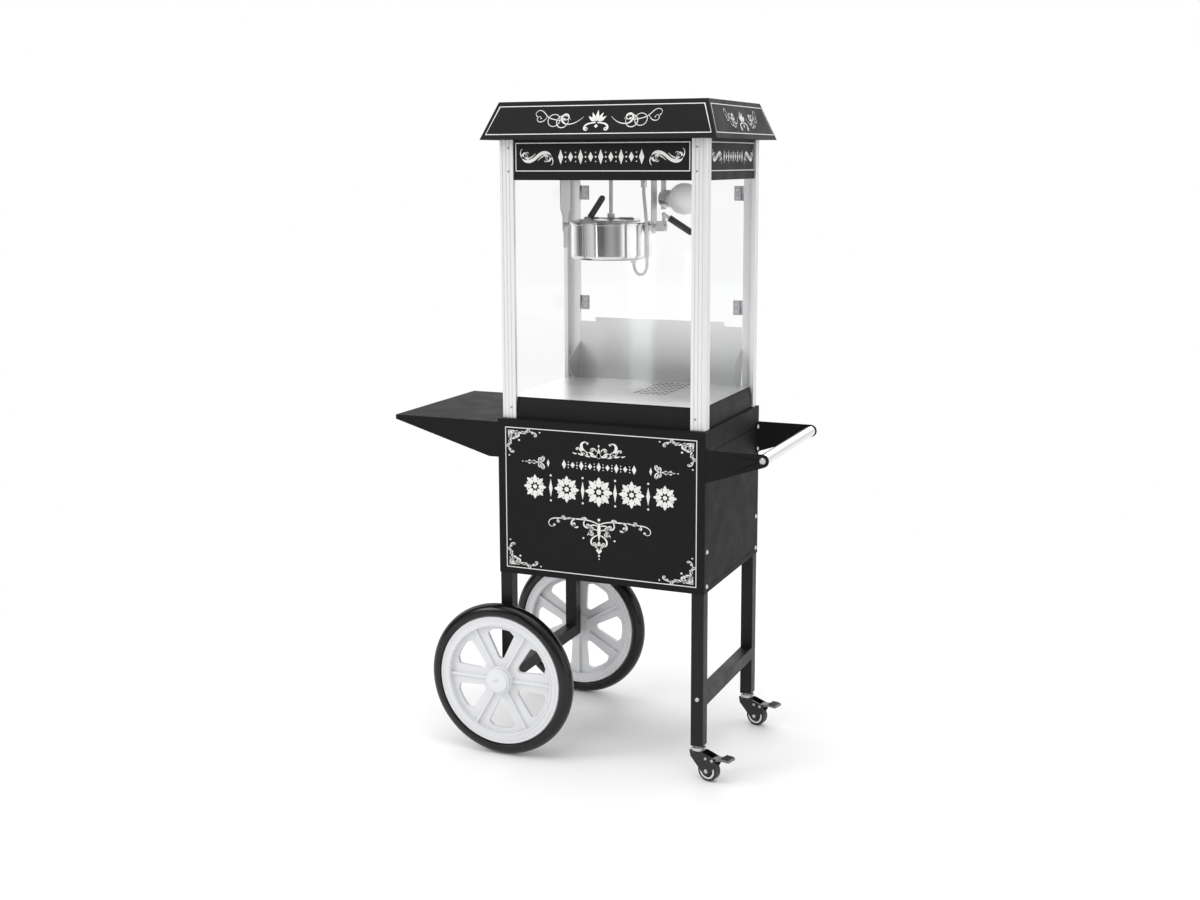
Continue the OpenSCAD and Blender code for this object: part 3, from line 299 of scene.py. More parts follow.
# material and edge radius in millimetres for each CAD node that is shown
DRESS = {
    "cart_front_panel": ("cart", 0.5), "cart_side_panels": ("cart", 0.5), "cart_top": ("cart", 0.5),
    "cart_floor": ("cart", 0.4), "left_leg_frame": ("leg", 0.8), "right_leg_frame": ("leg", 0.8),
    "wheel_axle": ("axle", 0.5), "side_shelf": ("cart", 0.4), "handle_arms": ("cart", 0.6),
    "handle_bar": ("chrome", 0.8), "cart_bolts": ("zinc", 0.3), "cart_door": ("rear_black", 0.4),
    "hinge_leaves": ("zinc", 0.3), "rim_front": ("rim", 1.2), "rim_rear": ("rim", 1.2),
    "tyre_front": ("tyre", 0), "tyre_rear": ("tyre", 0), "hub_cap_front": ("rim", 1.0),
    "hub_cap_rear": ("rim", 1.0), "caster_stems": ("zinc", 0.4), "fork_front": ("nylon", 0.5),
    "fork_rear": ("nylon", 0.5), "caster_wheel_front": ("tread", 1.5), "caster_wheel_rear": ("tread", 1.5),
    "brake_front": ("pedal", 0.5), "brake_rear": ("pedal", 0.5), "base_housing": ("machine", 0.5),
    "deck": ("deck", 0.3), "crumb_drawer": ("steel", 0.3), "back_apron": ("apron", 0.3),
    "corner_posts": ("post", 0.4), "front_window": ("clear", 0.4), "side_windows": ("clear", 0.4),
    "fascia_panels": ("machine", 0.4), "control_panel": ("rear_black", 0.4), "panel_fittings": ("switch", 0.4),
    "rocker_motor": ("rocker", 0.4), "rocker_heat": ("rocker", 0.4), "rocker_light": ("rocker", 0.4),
    "ceiling_plate": ("steel", 0.3), "roof": ("machine", 0.9), "door_pane_left": ("clear", 0.4),
    "door_pane_right": ("clear", 0.4), "door_clips_left": ("clip", 0.5), "door_clips_right": ("clip", 0.5),
    "kettle_hangers": ("steel", 0.4), "kettle_pot": ("kettle", 0.5), "kettle_base": ("kettle", 2.0),
    "lid_fixed": ("lid", 0.3), "lid_flap": ("lid", 0.3), "lid_grip": ("grip", 0), "tilt_handle": ("zinc", 0.6),
    "tilt_grip": ("grip", 0), "stirrer": ("axle", 0.3), "drive_shaft": ("axle", 0.3),
    "drive_motor": ("motor", 0.8), "cable_gland": ("gland", 0.5), "lamp_bracket": ("steel", 0.4),
    "lamp_bulb": ("glass", 0),
}


def soften(o, width):
    """Rounds a piece's sharp edges a little and shades it smoothly; its own mesh stays as it is."""
    weld = o.modifiers.new("weld", "WELD")
    weld.merge_threshold = 0.000002
    if width:
        bevel = o.modifiers.new("bevel", "BEVEL")
        bevel.limit_method = "ANGLE"
        bevel.angle_limit = math.radians(32)
        bevel.width = width / 1000
        bevel.segments = 3
        bevel.use_clamp_overlap = True
    for p in o.data.polygons:
        p.use_smooth = True
    even = o.modifiers.new("even", "WEIGHTED_NORMAL")
    even.keep_sharp = False
    even.weight = 100


for name, (key, width) in DRESS.items():
    o = nodes[name]
    o.data.materials.clear()
    o.data.materials.append(M[key])
    soften(o, width)


# ---------- mesh helpers ----------


def piece(name, verts, faces, key, body, slot=None, smooth=True):
    """A mesh from points already in metres in the row frame, riding on a body."""
    mesh = bpy.data.meshes.new(name)
    mesh.from_pydata([tuple(v) for v in verts], [], faces)
    mesh.validate()
    mesh.update()
    o = bpy.data.objects.new(name, mesh)
    bpy.context.scene.collection.objects.link(o)
    mesh.materials.append(M[key])
    for p in mesh.polygons:
        p.use_smooth = smooth
    if body:
        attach(o, body)
    return o


def lathe(profile, n):
    """(vertices, faces) of a closed profile of (radius, height) turned about Z in n steps."""
    verts, faces = [], []
    m = len(profile)
    for i in range(n):
        a = 2 * math.pi * i / n
        verts += [Vector((r * math.cos(a), r * math.sin(a), z)) for r, z in profile]
    for i in range(n):
        k = (i + 1) % n
        for j in range(m):
            q = (j + 1) % m
            faces.append((i * m + j, k * m + j, k * m + q, i * m + q))
    return verts, faces


def joined(parts):
    """Several (vertices, faces) as one."""
    verts, faces = [], []
    for v, f in parts:
        faces += [tuple(i + len(verts) for i in face) for face in f]
        verts += v
    return verts, faces


# ---------- kettle cable ----------

ROUTE = [
    (47, -40, 1361), (47, -40, 1350), (48, -40, 1336), (50, -40, 1318), (52, -40, 1300),
    (53, -40, 1280), (54, -40, 1260), (54.5, -40, 1240), (55, -40, 1220), (55.5, -40, 1202),
    (55.5, -40, 1188), (54.5, -39.5, 1175), (51, -39, 1165), (45.5, -38, 1158.5),
    (38.5, -37, 1156), (31.5, -36.5, 1158), (25.5, -36, 1163.5), (22, -35.5, 1171),
    (20.5, -35, 1178), (20, -35, 1184),
]


def rounded_route(points, steps):
    """The points with steps more between each two, on a smooth curve through them all."""
    p = [Vector(points[0])] + [Vector(q) for q in points] + [Vector(points[-1])]
    out = []
    for i in range(1, len(p) - 2):
        for s in range(steps):
            t = s / steps
            a, b, c, d = p[i - 1], p[i], p[i + 1], p[i + 2]
            square, cube = 2 * a - 5 * b + 4 * c - d, 3 * b - a - 3 * c + d
            out.append(0.5 * (2 * b + (c - a) * t + square * t * t + cube * t ** 3))
    return out + [p[-1]]


def make_cable():
    line = rounded_route(ROUTE, 16)
    sides, radius = 28, 4.0
    verts, faces, run = [], [], 0.0
    for i, c in enumerate(line):
        ahead = (line[min(i + 1, len(line) - 1)] - line[max(i - 1, 0)]).normalized()
        u = ahead.cross(Vector((0, 1, 0))).normalized()
        v = ahead.cross(u).normalized()
        if i:
            run += (c - line[i - 1]).length
        for k in range(sides):
            a = 2 * math.pi * k / sides
            weave = math.cos(7 * a + run * 1.3) * math.cos(7 * a - run * 1.3)
            r = radius * (0.955 + 0.045 * weave)
            verts.append(P(*(c + r * (u * math.cos(a) + v * math.sin(a)))))
    for i in range(len(line) - 1):
        for k in range(sides):
            q = (k + 1) % sides
            faces.append((i * sides + k, i * sides + q, (i + 1) * sides + q, (i + 1) * sides + k))
    faces.append(tuple(range(sides))[::-1])
    faces.append(tuple((len(line) - 1) * sides + k for k in range(sides)))
    o = piece("kettle_cable_braid", verts, faces, "braid", None, "cable_braid")
    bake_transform(o)
    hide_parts("kettle_cable")


make_cable()

# ---------- printed ornaments ----------


def flow(x, y, heading, length, bends, n=56):
    """A line that starts at (x, y) and turns as it goes; bends are turning rates along it, in degrees per length."""
    points, a = [], math.radians(heading)
    for i in range(n + 1):
        points.append((x, y))
        t = i / n * (len(bends) - 1)
        j = min(int(t), len(bends) - 2)
        a += math.radians(bends[j] + (bends[j + 1] - bends[j]) * (t - j)) / n
        x += math.cos(a) * length / n
        y += math.sin(a) * length / n
    return points


def stroke(points, widths):
    """Ribbon along a line, with widths given at even steps along it."""
    verts, faces, n = [], [], len(points)
    for i, (x, y) in enumerate(points):
        x0, y0 = points[max(i - 1, 0)]
        x1, y1 = points[min(i + 1, n - 1)]
        d = math.hypot(x1 - x0, y1 - y0) or 1
        nx, ny = -(y1 - y0) / d, (x1 - x0) / d
        t = i / (n - 1) * (len(widths) - 1)
        j = min(int(t), len(widths) - 2)
        s = t - j
        s = s * s * (3 - 2 * s)
        w = (widths[j] + (widths[j + 1] - widths[j]) * s) / 2
        verts += [(x + nx * w, y + ny * w), (x - nx * w, y - ny * w)]
    for i in range(n - 1):
        faces.append((2 * i, 2 * i + 1, 2 * i + 3, 2 * i + 2))
    return verts, faces


def disc(x, y, r, n=20):
    around = [2 * math.pi * i / n for i in range(n)]
    return [(x + r * math.cos(a), y + r * math.sin(a)) for a in around], [tuple(range(n))]


def ring_shape(x, y, r, w, n=36):
    verts, faces = [], []
    for i in range(n):
        a = 2 * math.pi * i / n
        verts += [(x + r * math.cos(a), y + r * math.sin(a)), (x + (r - w) * math.cos(a), y + (r - w) * math.sin(a))]
    for i in range(n):
        k = (i + 1) % n
        faces.append((2 * i, 2 * k, 2 * k + 1, 2 * i + 1))
    return verts, faces


def curl(x, y, heading, length, bends, widths, ball=0.0):
    """A tapering scroll, with a ball at its end if asked."""
    line = flow(x, y, heading, length, bends)
    found = [stroke(line, widths)]
    if ball:
        found.append(disc(*line[-1], ball))
    return found


def leaf(x, y, heading, length, width, bend=0.0):
    """A pointed leaf, fuller near its foot."""
    return [stroke(flow(x, y, heading, length, (bend, bend), 20), (0.2, width * 0.95, width, width * 0.55, 0.15))]


def lozenge(x, y, w, h):
    return [([(x - w / 2, y), (x, y - h / 2), (x + w / 2, y), (x, y + h / 2)], [(0, 1, 2, 3)])]


def frame_line(x0, y0, x1, y1, w, x2=None, x3=None):
    """A closed border. x2 and x3 are its ends on the top edge where that differs from the bottom."""
    x2, x3 = (x0 if x2 is None else x2), (x1 if x3 is None else x3)
    outer = [(x0, y0), (x1, y0), (x3, y1), (x2, y1)]
    inner = [(x0 + w, y0 + w), (x1 - w, y0 + w), (x3 - w, y1 - w), (x2 + w, y1 - w)]
    return [(outer + inner, [(i, (i + 1) % 4, 4 + (i + 1) % 4, 4 + i) for i in range(4)])]


def moved(shapes, dx=0.0, dy=0.0, sx=1.0, sy=1.0, turn=0.0):
    c, s = math.cos(math.radians(turn)), math.sin(math.radians(turn))
    flip = sx * sy < 0
    out = []
    for v, f in shapes:
        out.append(([(dx + c * x * sx - s * y * sy, dy + s * x * sx + c * y * sy) for x, y in v],
                    [tuple(reversed(q)) if flip else q for q in f]))
    return out


def both(shapes):
    """The shapes and their mirror image about x = 0."""
    return shapes + moved(shapes, sx=-1)


def corner():
    """Filigree for the corner of a border, its arms along +X and +Y, about 84 long."""
    arm = curl(3, 3, 6, 50, (0, 60, 420, 1500), (1.4, 3.6, 3.2, 1.2), 2.3)
    arm += curl(36, 4, 14, 34, (40, -200, -900), (1.4, 2.8, 1.2), 2.1)
    arm += curl(52, 3, 10, 40, (-40, 160, 1150), (1.2, 2.6, 1.0), 1.8)
    arm += curl(10, 5, 52, 34, (-40, -300, -1300), (2.0, 3.0, 1.2), 2.2)
    arm += curl(20, 5, 64, 30, (60, 260, 1150), (1.6, 2.8, 1.0), 1.9)
    arm += curl(40, 8, 70, 20, (-160, -500, -900), (1.4, 2.2, 0.9), 1.6)
    arm += leaf(30, 6, 44, 12, 4.2, -30) + leaf(60, 6, 46, 9, 3.2, -30) + leaf(44, 4, -4, 14, 3.0, 24)
    other = [([(y, x) for x, y in v], [tuple(reversed(q)) for q in f]) for v, f in moved(arm, sx=0.9, sy=0.95)]
    return arm + other + leaf(5, 5, 45, 30, 7.0) + [disc(30, 30, 2.6), disc(82, 5, 2.0), disc(5, 75, 2.0)]


def crest():
    """Ornament for the middle of an edge, about 140 wide and 44 high: leafy scrolls either side of a bud."""
    half = curl(3, -12, 6, 84, (30, 90, 240, 700), (5.0, 9.0, 8.0, 2.4), 3.4)
    half += curl(14, -8, 64, 30, (-60, -300, -1200), (4.0, 5.2, 1.8), 2.6)
    half += curl(34, -6, 70, 28, (-60, -300, -1100), (4.0, 5.0, 1.8), 2.4)
    half += curl(50, 2, 84, 26, (-60, -260, -1000), (3.6, 4.6, 1.6), 2.2)
    half += curl(6, 4, 70, 38, (-60, -420, -1150), (2.6, 4.0, 1.4), 2.6)
    half += leaf(20, -10, -24, 20, 5.4, 50) + leaf(40, -8, -14, 20, 5.0, 50) + leaf(60, -6, -16, 14, 4.0, 60)
    return both(half) + leaf(0, -18, 90, 34, 9.0) + leaf(0, -18, 90, 20, 13.0) + lozenge(0, 21, 6, 9)


def fleuron():
    """A pointed side ornament that reaches along -X, about 62 long."""
    half = curl(2, 0, 30, 34, (-60, 320, 1300), (2.4, 3.4, 1.4), 2.3)
    half += curl(0, 0, 132, 30, (-120, -420, -1000), (2.2, 3.2, 1.2), 2.1)
    half += curl(-10, 0, 112, 24, (160, 520, 1000), (2.0, 3.0, 1.1), 2.0)
    half = half + moved(half, sy=-1)
    return half + leaf(0, 0, 180, 42, 5.0) + lozenge(-27, 0, 14, 12) + lozenge(24, 0, 7, 20) + [disc(-46, 0, 1.6)]


def pendant():
    """A hanging triangle of scrolls, about 270 wide and 100 high, its top edge near y = 0."""
    half = curl(2, -8, 34, 152, (-190, -10, -10, -1500), (2.8, 3.4, 2.8, 1.3), 3.0)
    half += curl(56, 1, -26, 46, (40, -500, -1150), (2.4, 3.8, 1.3), 3.0)
    half += curl(78, 0, -34, 34, (60, 520, 1150), (2.2, 3.2, 1.1), 2.3)
    half += curl(97, -1, -40, 28, (60, -520, -1100), (2.0, 2.8, 1.1), 2.1)
    half += curl(34, 1, -60, 50, (-60, -420, -1150), (2.6, 4.2, 1.4), 3.0)
    half += curl(4, -12, 10, 40, (60, -420, -1150), (2.6, 3.8, 1.4), 2.8)
    half += curl(3, -24, 22, 54, (-60, -420, -1150), (2.4, 3.6, 1.3), 2.7)
    half += curl(2, -36, -18, 58, (-60, -260, -1300), (2.8, 4.2, 1.5), 3.0)
    half += curl(2, -60, 10, 34, (-260, -620, -900), (2.4, 3.4, 1.3), 2.4)
    half += leaf(30, 1, 62, 11, 4.6, -40) + leaf(50, -18, -40, 12, 4.4, 40) + leaf(66, 0, 30, 10, 4.0, -30)
    half += leaf(14, -22, -36, 24, 5.2, -30) + [disc(40, 4, 2.8), disc(64, -17, 2.2), disc(38, -47, 2.4)]
    out = both(half) + leaf(0, -2, -90, 52, 8.0) + leaf(0, -50, -90, 28, 7.0) + lozenge(0, -76, 15, 19)
    return out + [disc(0, -90, 2.5), disc(0, -98, 1.7), disc(0, 4, 3.4)]


def rosette(r, petals):
    out = [disc(0, 0, r * 0.17)]
    for i in range(petals):
        a = 360 * i / petals + 90
        c, s = math.cos(math.radians(a)), math.sin(math.radians(a))
        out += leaf(c * r * 0.25, s * r * 0.25, a, r * 0.72, r * 0.40)
        b = a + 180 / petals
        c, s = math.cos(math.radians(b)), math.sin(math.radians(b))
        out.append(disc(c * r * 0.70, s * r * 0.70, r * 0.07))
    return out


def bead_row(half, h, n=4):
    """Upright lozenges with small beads and bars between them, from -half to half."""
    out = []
    step = half / (n + 0.35)
    for i in range(-n, n + 1):
        tall = h * (1.0 if i % 2 == 0 else 0.66)
        out += lozenge(i * step, 0, step * 0.50, tall)
        if i < n:
            x = (i + 0.5) * step
            out += [disc(x, 0, step * 0.085), disc(x, h * 0.3, step * 0.06), disc(x, -h * 0.3, step * 0.06)]
    return out


def medallions():
    """The large middle band: rosettes between upright lozenges on a thin double line."""
    out = []
    for i in range(-2, 3):
        r = 37 - 3.2 * abs(i)
        out += moved(rosette(r, 8), dx=i * 82)
    for i in (-1.5, -0.5, 0.5, 1.5):
        out += lozenge(i * 82, 0, 9, 44)
        out += [disc(i * 82, 30, 2.6), disc(i * 82, -30, 2.6)]
    return out


def wave_scroll():
    """An S-shaped scroll of three strands, about 74 wide and 36 high."""
    s = curl(0, 0, 38, 62, (-40, -200, -900), (6.4, 7.2, 2.2), 3.0)
    t = curl(3, -7, 40, 58, (-30, -160, -420), (1.0, 4.6, 1.2))
    u = curl(13, 2, -4, 30, (40, -260, -640), (0.6, 2.6, 0.8))
    return s + t + u + moved(s + t + u, turn=180)


def flourish():
    """Looping pen strokes that run outward from the middle along +X, about 130 long and 36 high."""
    out = curl(0, 7, -48, 96, (80, 160, 620, 1100), (0.7, 2.0, 4.0, 1.4), 2.6)
    out += curl(28, 1, 64, 88, (-260, -360, -420, -300), (0.7, 1.7, 2.0, 0.8))
    out += [ring_shape(64, 0, 14.0, 1.5)]
    out += curl(40, -2, 10, 84, (-20, 30, 200, -420, -900), (0.6, 1.8, 1.8, 1.4, 0.8), 1.5)
    out += curl(80, 10, -70, 46, (60, 200, 420, 800), (0.7, 1.7, 1.3, 0.8), 1.4)
    return out


def fan():
    """A small ornament of upright leaves over a curl pair, about 46 wide and 40 high."""
    out = []
    for i in range(-2, 3):
        out += leaf(i * 2.0, -6, 90 - i * 26, 24 - 3 * abs(i), 6.2)
    half = curl(2, -8, -8, 44, (60, -240, -1200), (2.4, 3.4, 1.2), 2.0)
    return out + both(half) + lozenge(0, -15, 8, 8)


def inlay(name, shapes, origin, across, up, key, body, slot, lift=0.10, thick=0.12):
    """Lays flat shapes on a surface. origin is a point on it, across and up its directions; all in millimetres."""
    a, b = Vector(across).normalized(), Vector(up).normalized()
    out = a.cross(b)
    o = Vector(origin) + out * lift
    v, f = joined([([P(*(o + a * x + b * y)) for x, y in s[0]], s[1]) for s in shapes])
    made = piece(name, v, f, key, body, slot, smooth=False)
    solid = made.modifiers.new("solid", "SOLIDIFY")
    solid.thickness, solid.offset = thick / 1000, 0
    return made


def box_mm(name):
    """A CAD node's box in millimetres in the cart's frame."""
    lo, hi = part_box(name)
    to = lambda p: Vector(((p.x - OFF_X) * 1000, p.y * 1000, p.z * 1000))
    return to(lo), to(hi)


def decorate_front_panel():
    lo, hi = box_mm("cart_front_panel")
    bottom, top = lo.z, hi.z + 1.5
    y = lo.y
    cz = (top + bottom) / 2
    w, h = hi.x - lo.x, top - bottom
    x0, x1, z0, z1 = -w / 2 + 19, w / 2 - 19, bottom + 15 - cz, top - 19 - cz
    shapes = frame_line(x0, z0, x1, z1, 2.0)
    filigree = corner()
    for sx, sz, cx, cy in ((1, 1, x0, z0), (-1, 1, x1, z0), (1, -1, x0, z1), (-1, -1, x1, z1)):
        shapes += moved(filigree, cx + sx * 5, cy + sz * 5, sx * 1.04, sz * 0.84)
    shapes += moved(crest(), 0, 122, 0.92, 0.78)
    shapes += moved(bead_row(96, 22), 0, 89)
    shapes += moved(fleuron(), -152, 89, 0.95, 0.95) + moved(fleuron(), 152, 89, -0.95, 0.95)
    shapes += moved(medallions(), 0, 30)
    shapes += moved(pendant(), 0, -40, 1.04, 0.92)
    inlay("front_panel_print", shapes, (0, y, cz), (1, 0, 0), (0, 0, 1), "print", "frame", "cart_black")


def decorate_fascia():
    lo, hi = box_mm("fascia_panels")
    z, mid = 1431.5, 4.0  # height of the printed bands, and the middle of the side ones along Y
    shapes = frame_line(-214, -32.5, 214, 32.5, 2.0)
    row = moved(wave_scroll(), -160, 0, 0.98, 1.1) + moved(wave_scroll(), 160, 0, -0.98, 1.1) + bead_row(108, 34)
    inlay("fascia_front_print", shapes + row, (0, lo.y, z), (1, 0, 0), (0, 0, 1), "print", "frame", "machine_black")
    side = frame_line(-161, -32.5, 161, 32.5, 2.0)
    side += moved(wave_scroll(), -116, 0, 0.8, 0.95) + moved(wave_scroll(), 116, 0, -0.8, 0.95) + bead_row(72, 30)
    inlay("fascia_right_print", side, (hi.x, mid, z), (0, 1, 0), (0, 0, 1), "print", "frame", "machine_black")
    inlay("fascia_left_print", side, (lo.x, mid, z), (0, -1, 0), (0, 0, 1), "print", "frame", "machine_black")


def decorate_roof():
    lo, hi = box_mm("roof")
    z0, z1 = lo.z, hi.z
    over_x, in_y = 32.5, 38.0  # how far the slopes lean in at the sides and at the front
    rise = math.hypot(z1 - z0, in_y)
    bx, tx = hi.x - 13, hi.x - over_x - 4
    front = frame_line(-bx, -rise / 2 + 12, bx, rise / 2 - 11, 2.0, -tx + 1, tx - 1)
    front += both(moved(flourish(), 34, -1, 1.12, 1.12)) + moved(fan(), 0, 2, 1.2, 1.2)
    inlay("roof_front_print", front, (0, lo.y + in_y / 2, (z0 + z1) / 2), (1, 0, 0), (0, in_y, z1 - z0),
          "print", "frame", "machine_black", lift=0.12)
    cy = (lo.y + hi.y) / 2
    by, ty = (hi.y - lo.y) / 2 - 14, (hi.y - lo.y) / 2 - in_y - 3
    rise = math.hypot(z1 - z0, over_x)
    side = frame_line(-by, -rise / 2 + 12, by, rise / 2 - 11, 2.0, -ty + 1, ty - 1)
    side += both(moved(flourish(), 30, -1, 0.8, 1.1)) + moved(fan(), 0, 2, 1.1, 1.15)
    inlay("roof_right_print", side, (hi.x - over_x / 2, cy, (z0 + z1) / 2), (0, 1, 0), (-over_x, 0, z1 - z0),
          "print", "frame", "machine_black", lift=0.12)
    inlay("roof_left_print", side, (lo.x + over_x / 2, cy, (z0 + z1) / 2), (0, -1, 0), (over_x, 0, z1 - z0),
          "print", "frame", "machine_black", lift=0.12)


decorate_front_panel()
decorate_fascia()
decorate_roof()

# ---------- small parts ----------


def turned(profile, at, axis, n=48):
    """(vertices, faces), in metres in the row frame, of a closed profile of (radius, height) turned about an axis."""
    z = Vector(axis).normalized()
    x = (Vector((0, 0, 1)) if abs(z.z) < 0.9 else Vector((1, 0, 0))).cross(z).normalized()
    y = z.cross(x)
    v, f = lathe(profile, n)
    return [P(*(Vector(at) + x * q.x + y * q.y + z * q.z)) for q in v], f


def screw(at, axis, r=2.6, h=1.3):
    """A low round screw head with a hollow in its middle."""
    return turned([(0.05, -0.4), (r, -0.4), (r, h * 0.35), (r * 0.82, h * 0.8), (r * 0.5, h), (r * 0.34, h),
                   (r * 0.28, h * 0.4), (0.05, h * 0.4)], at, axis, 20)


def bead(r, w, h, at, axis):
    """A low rounded ring of middle radius r, width w and height h."""
    return turned([(r - w / 2, -0.3), (r + w / 2, -0.3), (r + w / 2, h * 0.5), (r + w * 0.3, h * 0.9), (r, h),
                   (r - w * 0.3, h * 0.9), (r - w / 2, h * 0.5)], at, axis, 96)


def make_wheels():
    face = 17.0  # from a rim's middle to the flat beside its beads
    for side, body in ((-1, "front"), (1, "rear")):
        lo, hi = box_mm("rim_" + body)
        c = (lo + hi) / 2
        cap_lo, cap_hi = box_mm("hub_cap_" + body)
        foot = cap_lo.y if side > 0 else cap_hi.y
        cap = turned([(0.05, 0), (31, 0), (31, 3.4), (30.4, 4.6), (29, 5.0), (27.2, 5.0), (26.7, 5.4), (26.5, 7.8),
                      (25.4, 9.1), (23.4, 9.7), (12, 10.0), (0.05, 10.0)], (c.x, foot, c.z), (0, side, 0))
        o = piece("hub_cover_" + body, *cap, "rim", body + "_wheel", "rim_plastic")
        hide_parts("hub_cap_" + body)
        rings = []
        for s in (-1, 1):
            at = (c.x, c.y + s * face, c.z)
            rings += [bead(155.5, 4.0, 1.6, at, (0, s, 0)), bead(148.5, 1.6, 0.9, at, (0, s, 0)),
                      bead(137.5, 3.0, 1.4, at, (0, s, 0))]
        piece("rim_beads_" + body, *joined(rings), "rim", body + "_wheel", "rim_plastic")


LEG_X, LEG_Y, CASTER_TURN = 243.5, 187.5, math.radians(-15)


def make_casters():
    turn = CASTER_TURN
    across = Vector((-math.sin(turn), math.cos(turn), 0))
    along = Vector((math.cos(turn), math.sin(turn), 0))
    for side, body in ((-1, "front"), (1, "rear")):
        pin = Vector((LEG_X, side * LEG_Y, 0))

        def at(x, y, z):
            return pin + along * x + across * y + Vector((0, 0, z))

        heads, rings = [], []
        for s in (-1, 1):
            heads += [screw(at(46, s * 14.5, 54), across * s, 3.8, 1.6),
                      screw(at(28, s * 13.5, 55), across * s, 3.4, 1.6)]
            nut = [(0.05, 0), (5.4, 0), (5.4, 1.6), (4.4, 2.4), (0.05, 2.4)]
            heads.append(turned(nut, at(30, s * 13.5, 25), across * s, 6))
            rings.append(turned([(14.6, -1.2), (20.0, -1.2), (20.0, 0.1), (19.2, 0.5), (15.4, 0.5), (14.6, 0.1)],
                                at(30, s * 10, 25), across * s))
        piece("caster_rivets_" + body, *joined(heads), "zinc", body + "_caster", "caster_black", smooth=False)
        piece("caster_disc_" + body, *joined(rings), "nickel", body + "_caster_roller", "caster_tread")
        # Ribbed pad on the pedal: a comb of ribs 2 high, every 4 along it
        comb = [(70, 64.8)]
        for i in range(5):
            x = 70.5 + i * 4
            comb += [(x, 66.2), (x + 0.5, 67.2), (x + 2.3, 67.2), (x + 2.8, 66.2)]
        comb.append((90.5, 64.8))
        n = len(comb)
        verts = [P(*at(x, y, z)) for y in (-12.5, 12.5) for x, z in comb]
        faces = [tuple(range(n)), tuple(range(2 * n - 1, n - 1, -1))]
        faces += [(i, (i + 1) % n, (i + 1) % n + n, i + n)[::-1] for i in range(n)]
        piece("pedal_pad_" + body, verts, faces, "nylon", body + "_brake", "caster_black", smooth=False)


def make_screws():
    lo, hi = box_mm("corner_posts")
    heads = []
    for x in (-231, 231):
        for z in (1399, 1452, 846):
            heads += [screw((x, lo.y, z), (0, -1, 0)), screw((x, hi.y, z), (0, 1, 0))]
    piece("post_screws", *joined(heads), "clip", "frame", "bolt_zinc")
    for side in ("left", "right"):
        lo, hi = box_mm("door_clips_" + side)
        pane_lo, pane_hi = box_mm("door_pane_" + side)
        x = (pane_lo.x + 8.5) if side == "left" else (pane_hi.x - 8.5)
        heads = []
        for z in (lo.z + 9, lo.z + 27, hi.z - 27, hi.z - 9):
            heads += [screw((x, pane_lo.y - 2.5, z), (0, -1, 0), 3.2), screw((x, pane_hi.y + 2.5, z), (0, 1, 0), 3.2)]
        piece("clip_screws_" + side, *joined(heads), "nickel", side + "_door", "clip_metal")


make_wheels()
make_casters()
make_screws()

# ---------- floor and light ----------


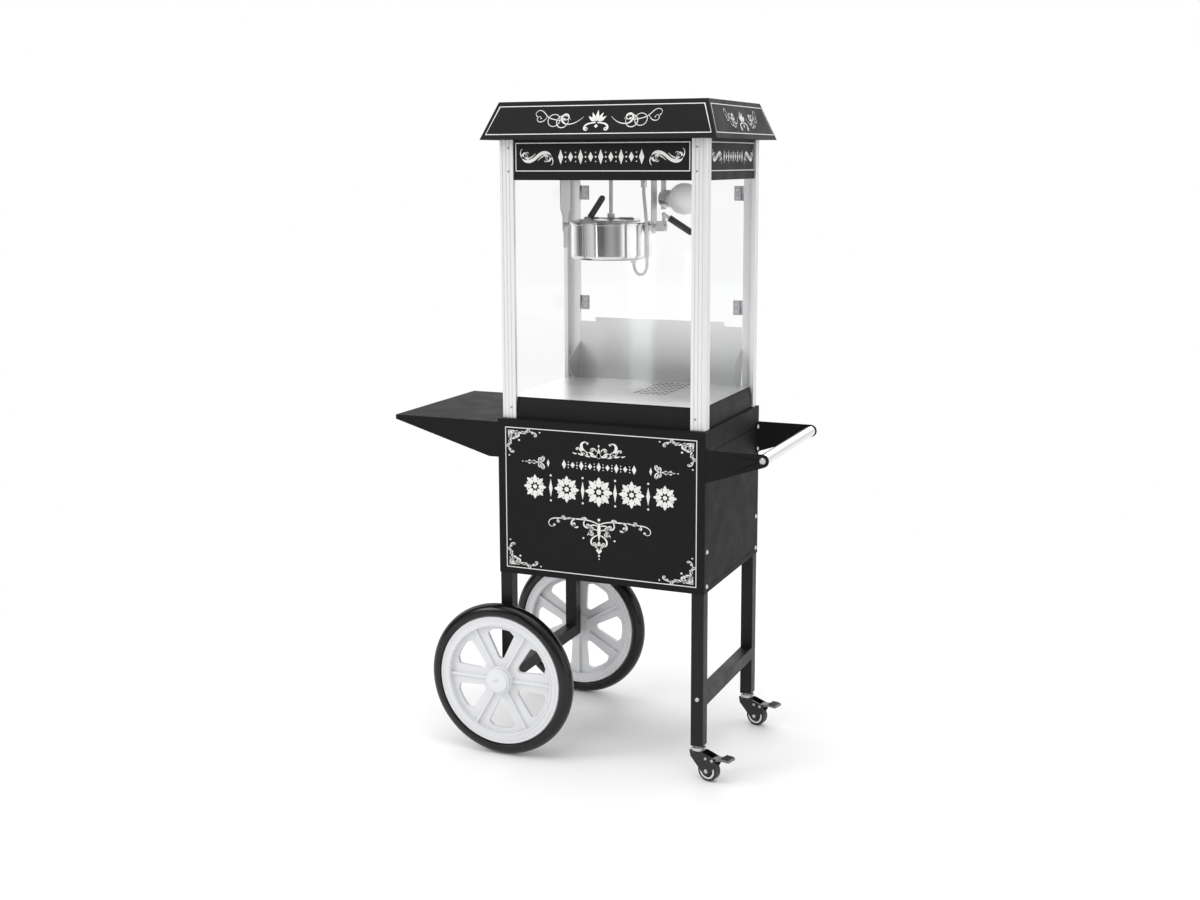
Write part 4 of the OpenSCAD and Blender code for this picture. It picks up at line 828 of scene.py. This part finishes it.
def make_stage():
    mesh = bpy.data.meshes.new("floor")
    radius, sides = 14.0, 64
    around = [2 * math.pi * i / sides for i in range(sides)]
    mesh.from_pydata([(radius * math.cos(a), radius * math.sin(a), -0.0005) for a in around], [], [tuple(range(sides))])
    o = bpy.data.objects.new("floor", mesh)
    bpy.context.scene.collection.objects.link(o)
    m = Nodes("pale_floor")
    m.set(Base_Color=(0.90, 0.90, 0.90, 1), Roughness=0.9, Specular_IOR_Level=0.1)
    # Far from the object the floor turns into the same plain white as the backdrop
    where = m.new("ShaderNodeTexCoord")
    far = m.new("ShaderNodeVectorMath", operation="LENGTH")
    m.link(where.outputs["Object"], far.inputs[0])
    plain = m.new("ShaderNodeEmission")
    plain.inputs["Color"].default_value = (1, 1, 1, 1)
    fade = m.new("ShaderNodeMixShader")
    m.link(m.spread(far.outputs["Value"], 0, 1, 0.7, 2.2), fade.inputs["Fac"])
    m.link(m.bsdf.outputs["BSDF"], fade.inputs[1])
    m.link(plain.outputs["Emission"], fade.inputs[2])
    m.link(fade.outputs["Shader"], m.tree.nodes["Material Output"].inputs["Surface"])
    mesh.materials.append(m.mat)

    world = bpy.data.worlds.new("studio")
    bpy.context.scene.world = world
    world.use_nodes = True
    t = world.node_tree
    back = t.nodes["Background"]
    seen = t.nodes.new("ShaderNodeLightPath")
    # Tall soft strips of light and dark round the room, which only the shiny surfaces show
    where = t.nodes.new("ShaderNodeTexCoord")
    mapping = t.nodes.new("ShaderNodeMapping")
    mapping.inputs["Scale"].default_value = (1, 1, 0.12)
    strips = t.nodes.new("ShaderNodeTexNoise")
    strips.inputs["Scale"].default_value = 1.35
    strips.inputs["Detail"].default_value = 0.6
    ramp = t.nodes.new("ShaderNodeValToRGB")
    e = ramp.color_ramp.elements
    e[0].position, e[0].color = 0.38, (0.12, 0.12, 0.12, 1)
    e[1].position, e[1].color = 0.60, (1.3, 1.3, 1.3, 1)
    mid = e.new(0.49)
    mid.color = (0.42, 0.42, 0.42, 1)
    t.links.new(where.outputs["Generated"], mapping.inputs["Vector"])
    t.links.new(mapping.outputs["Vector"], strips.inputs["Vector"])
    t.links.new(strips.outputs["Fac"], ramp.inputs["Fac"])

    def choose(share, a, b):
        mix = t.nodes.new("ShaderNodeMix")
        mix.data_type = "RGBA"
        t.links.new(share, mix.inputs["Factor"])
        for socket, v in ((mix.inputs[6], a), (mix.inputs[7], b)):
            if isinstance(v, tuple):
                socket.default_value = v
            else:
                t.links.new(v, socket)
        return mix.outputs[2]

    lit = choose(seen.outputs["Is Glossy Ray"], (1.0, 1.0, 1.0, 1), ramp.outputs["Color"])
    t.links.new(choose(seen.outputs["Is Camera Ray"], lit, (1, 1, 1, 1)), back.inputs["Color"])
    back.inputs["Strength"].default_value = 1.0

    def softbox(name, at, toward, w, h, power):
        data = bpy.data.lights.new(name, "AREA")
        data.shape, data.size, data.size_y, data.energy = "RECTANGLE", w, h, power
        light = bpy.data.objects.new(name, data)
        bpy.context.scene.collection.objects.link(light)
        light.location = at
        light.visible_camera = False
        light.rotation_euler = (Vector(toward) - Vector(at)).to_track_quat("-Z", "Y").to_euler()

    softbox("key", (-2.8, -2.8, 3.0), (0, 0, 0.9), 1.6, 1.6, 42)
    softbox("top", (0, -0.2, 4.0), (0, 0, 0), 3.0, 3.0, 45)
    softbox("rear", (-0.8, 3.6, 2.6), (0, 0, 1.0), 2.4, 1.6, 30)
    # Its reflection crosses the front window as a faint tall stripe
    softbox("stripe", P(-1130, -3288, 760), P(94, -205, 1030), 0.10, 0.72, 1.4)


make_stage()
bpy.context.scene.view_settings.view_transform = "Standard"
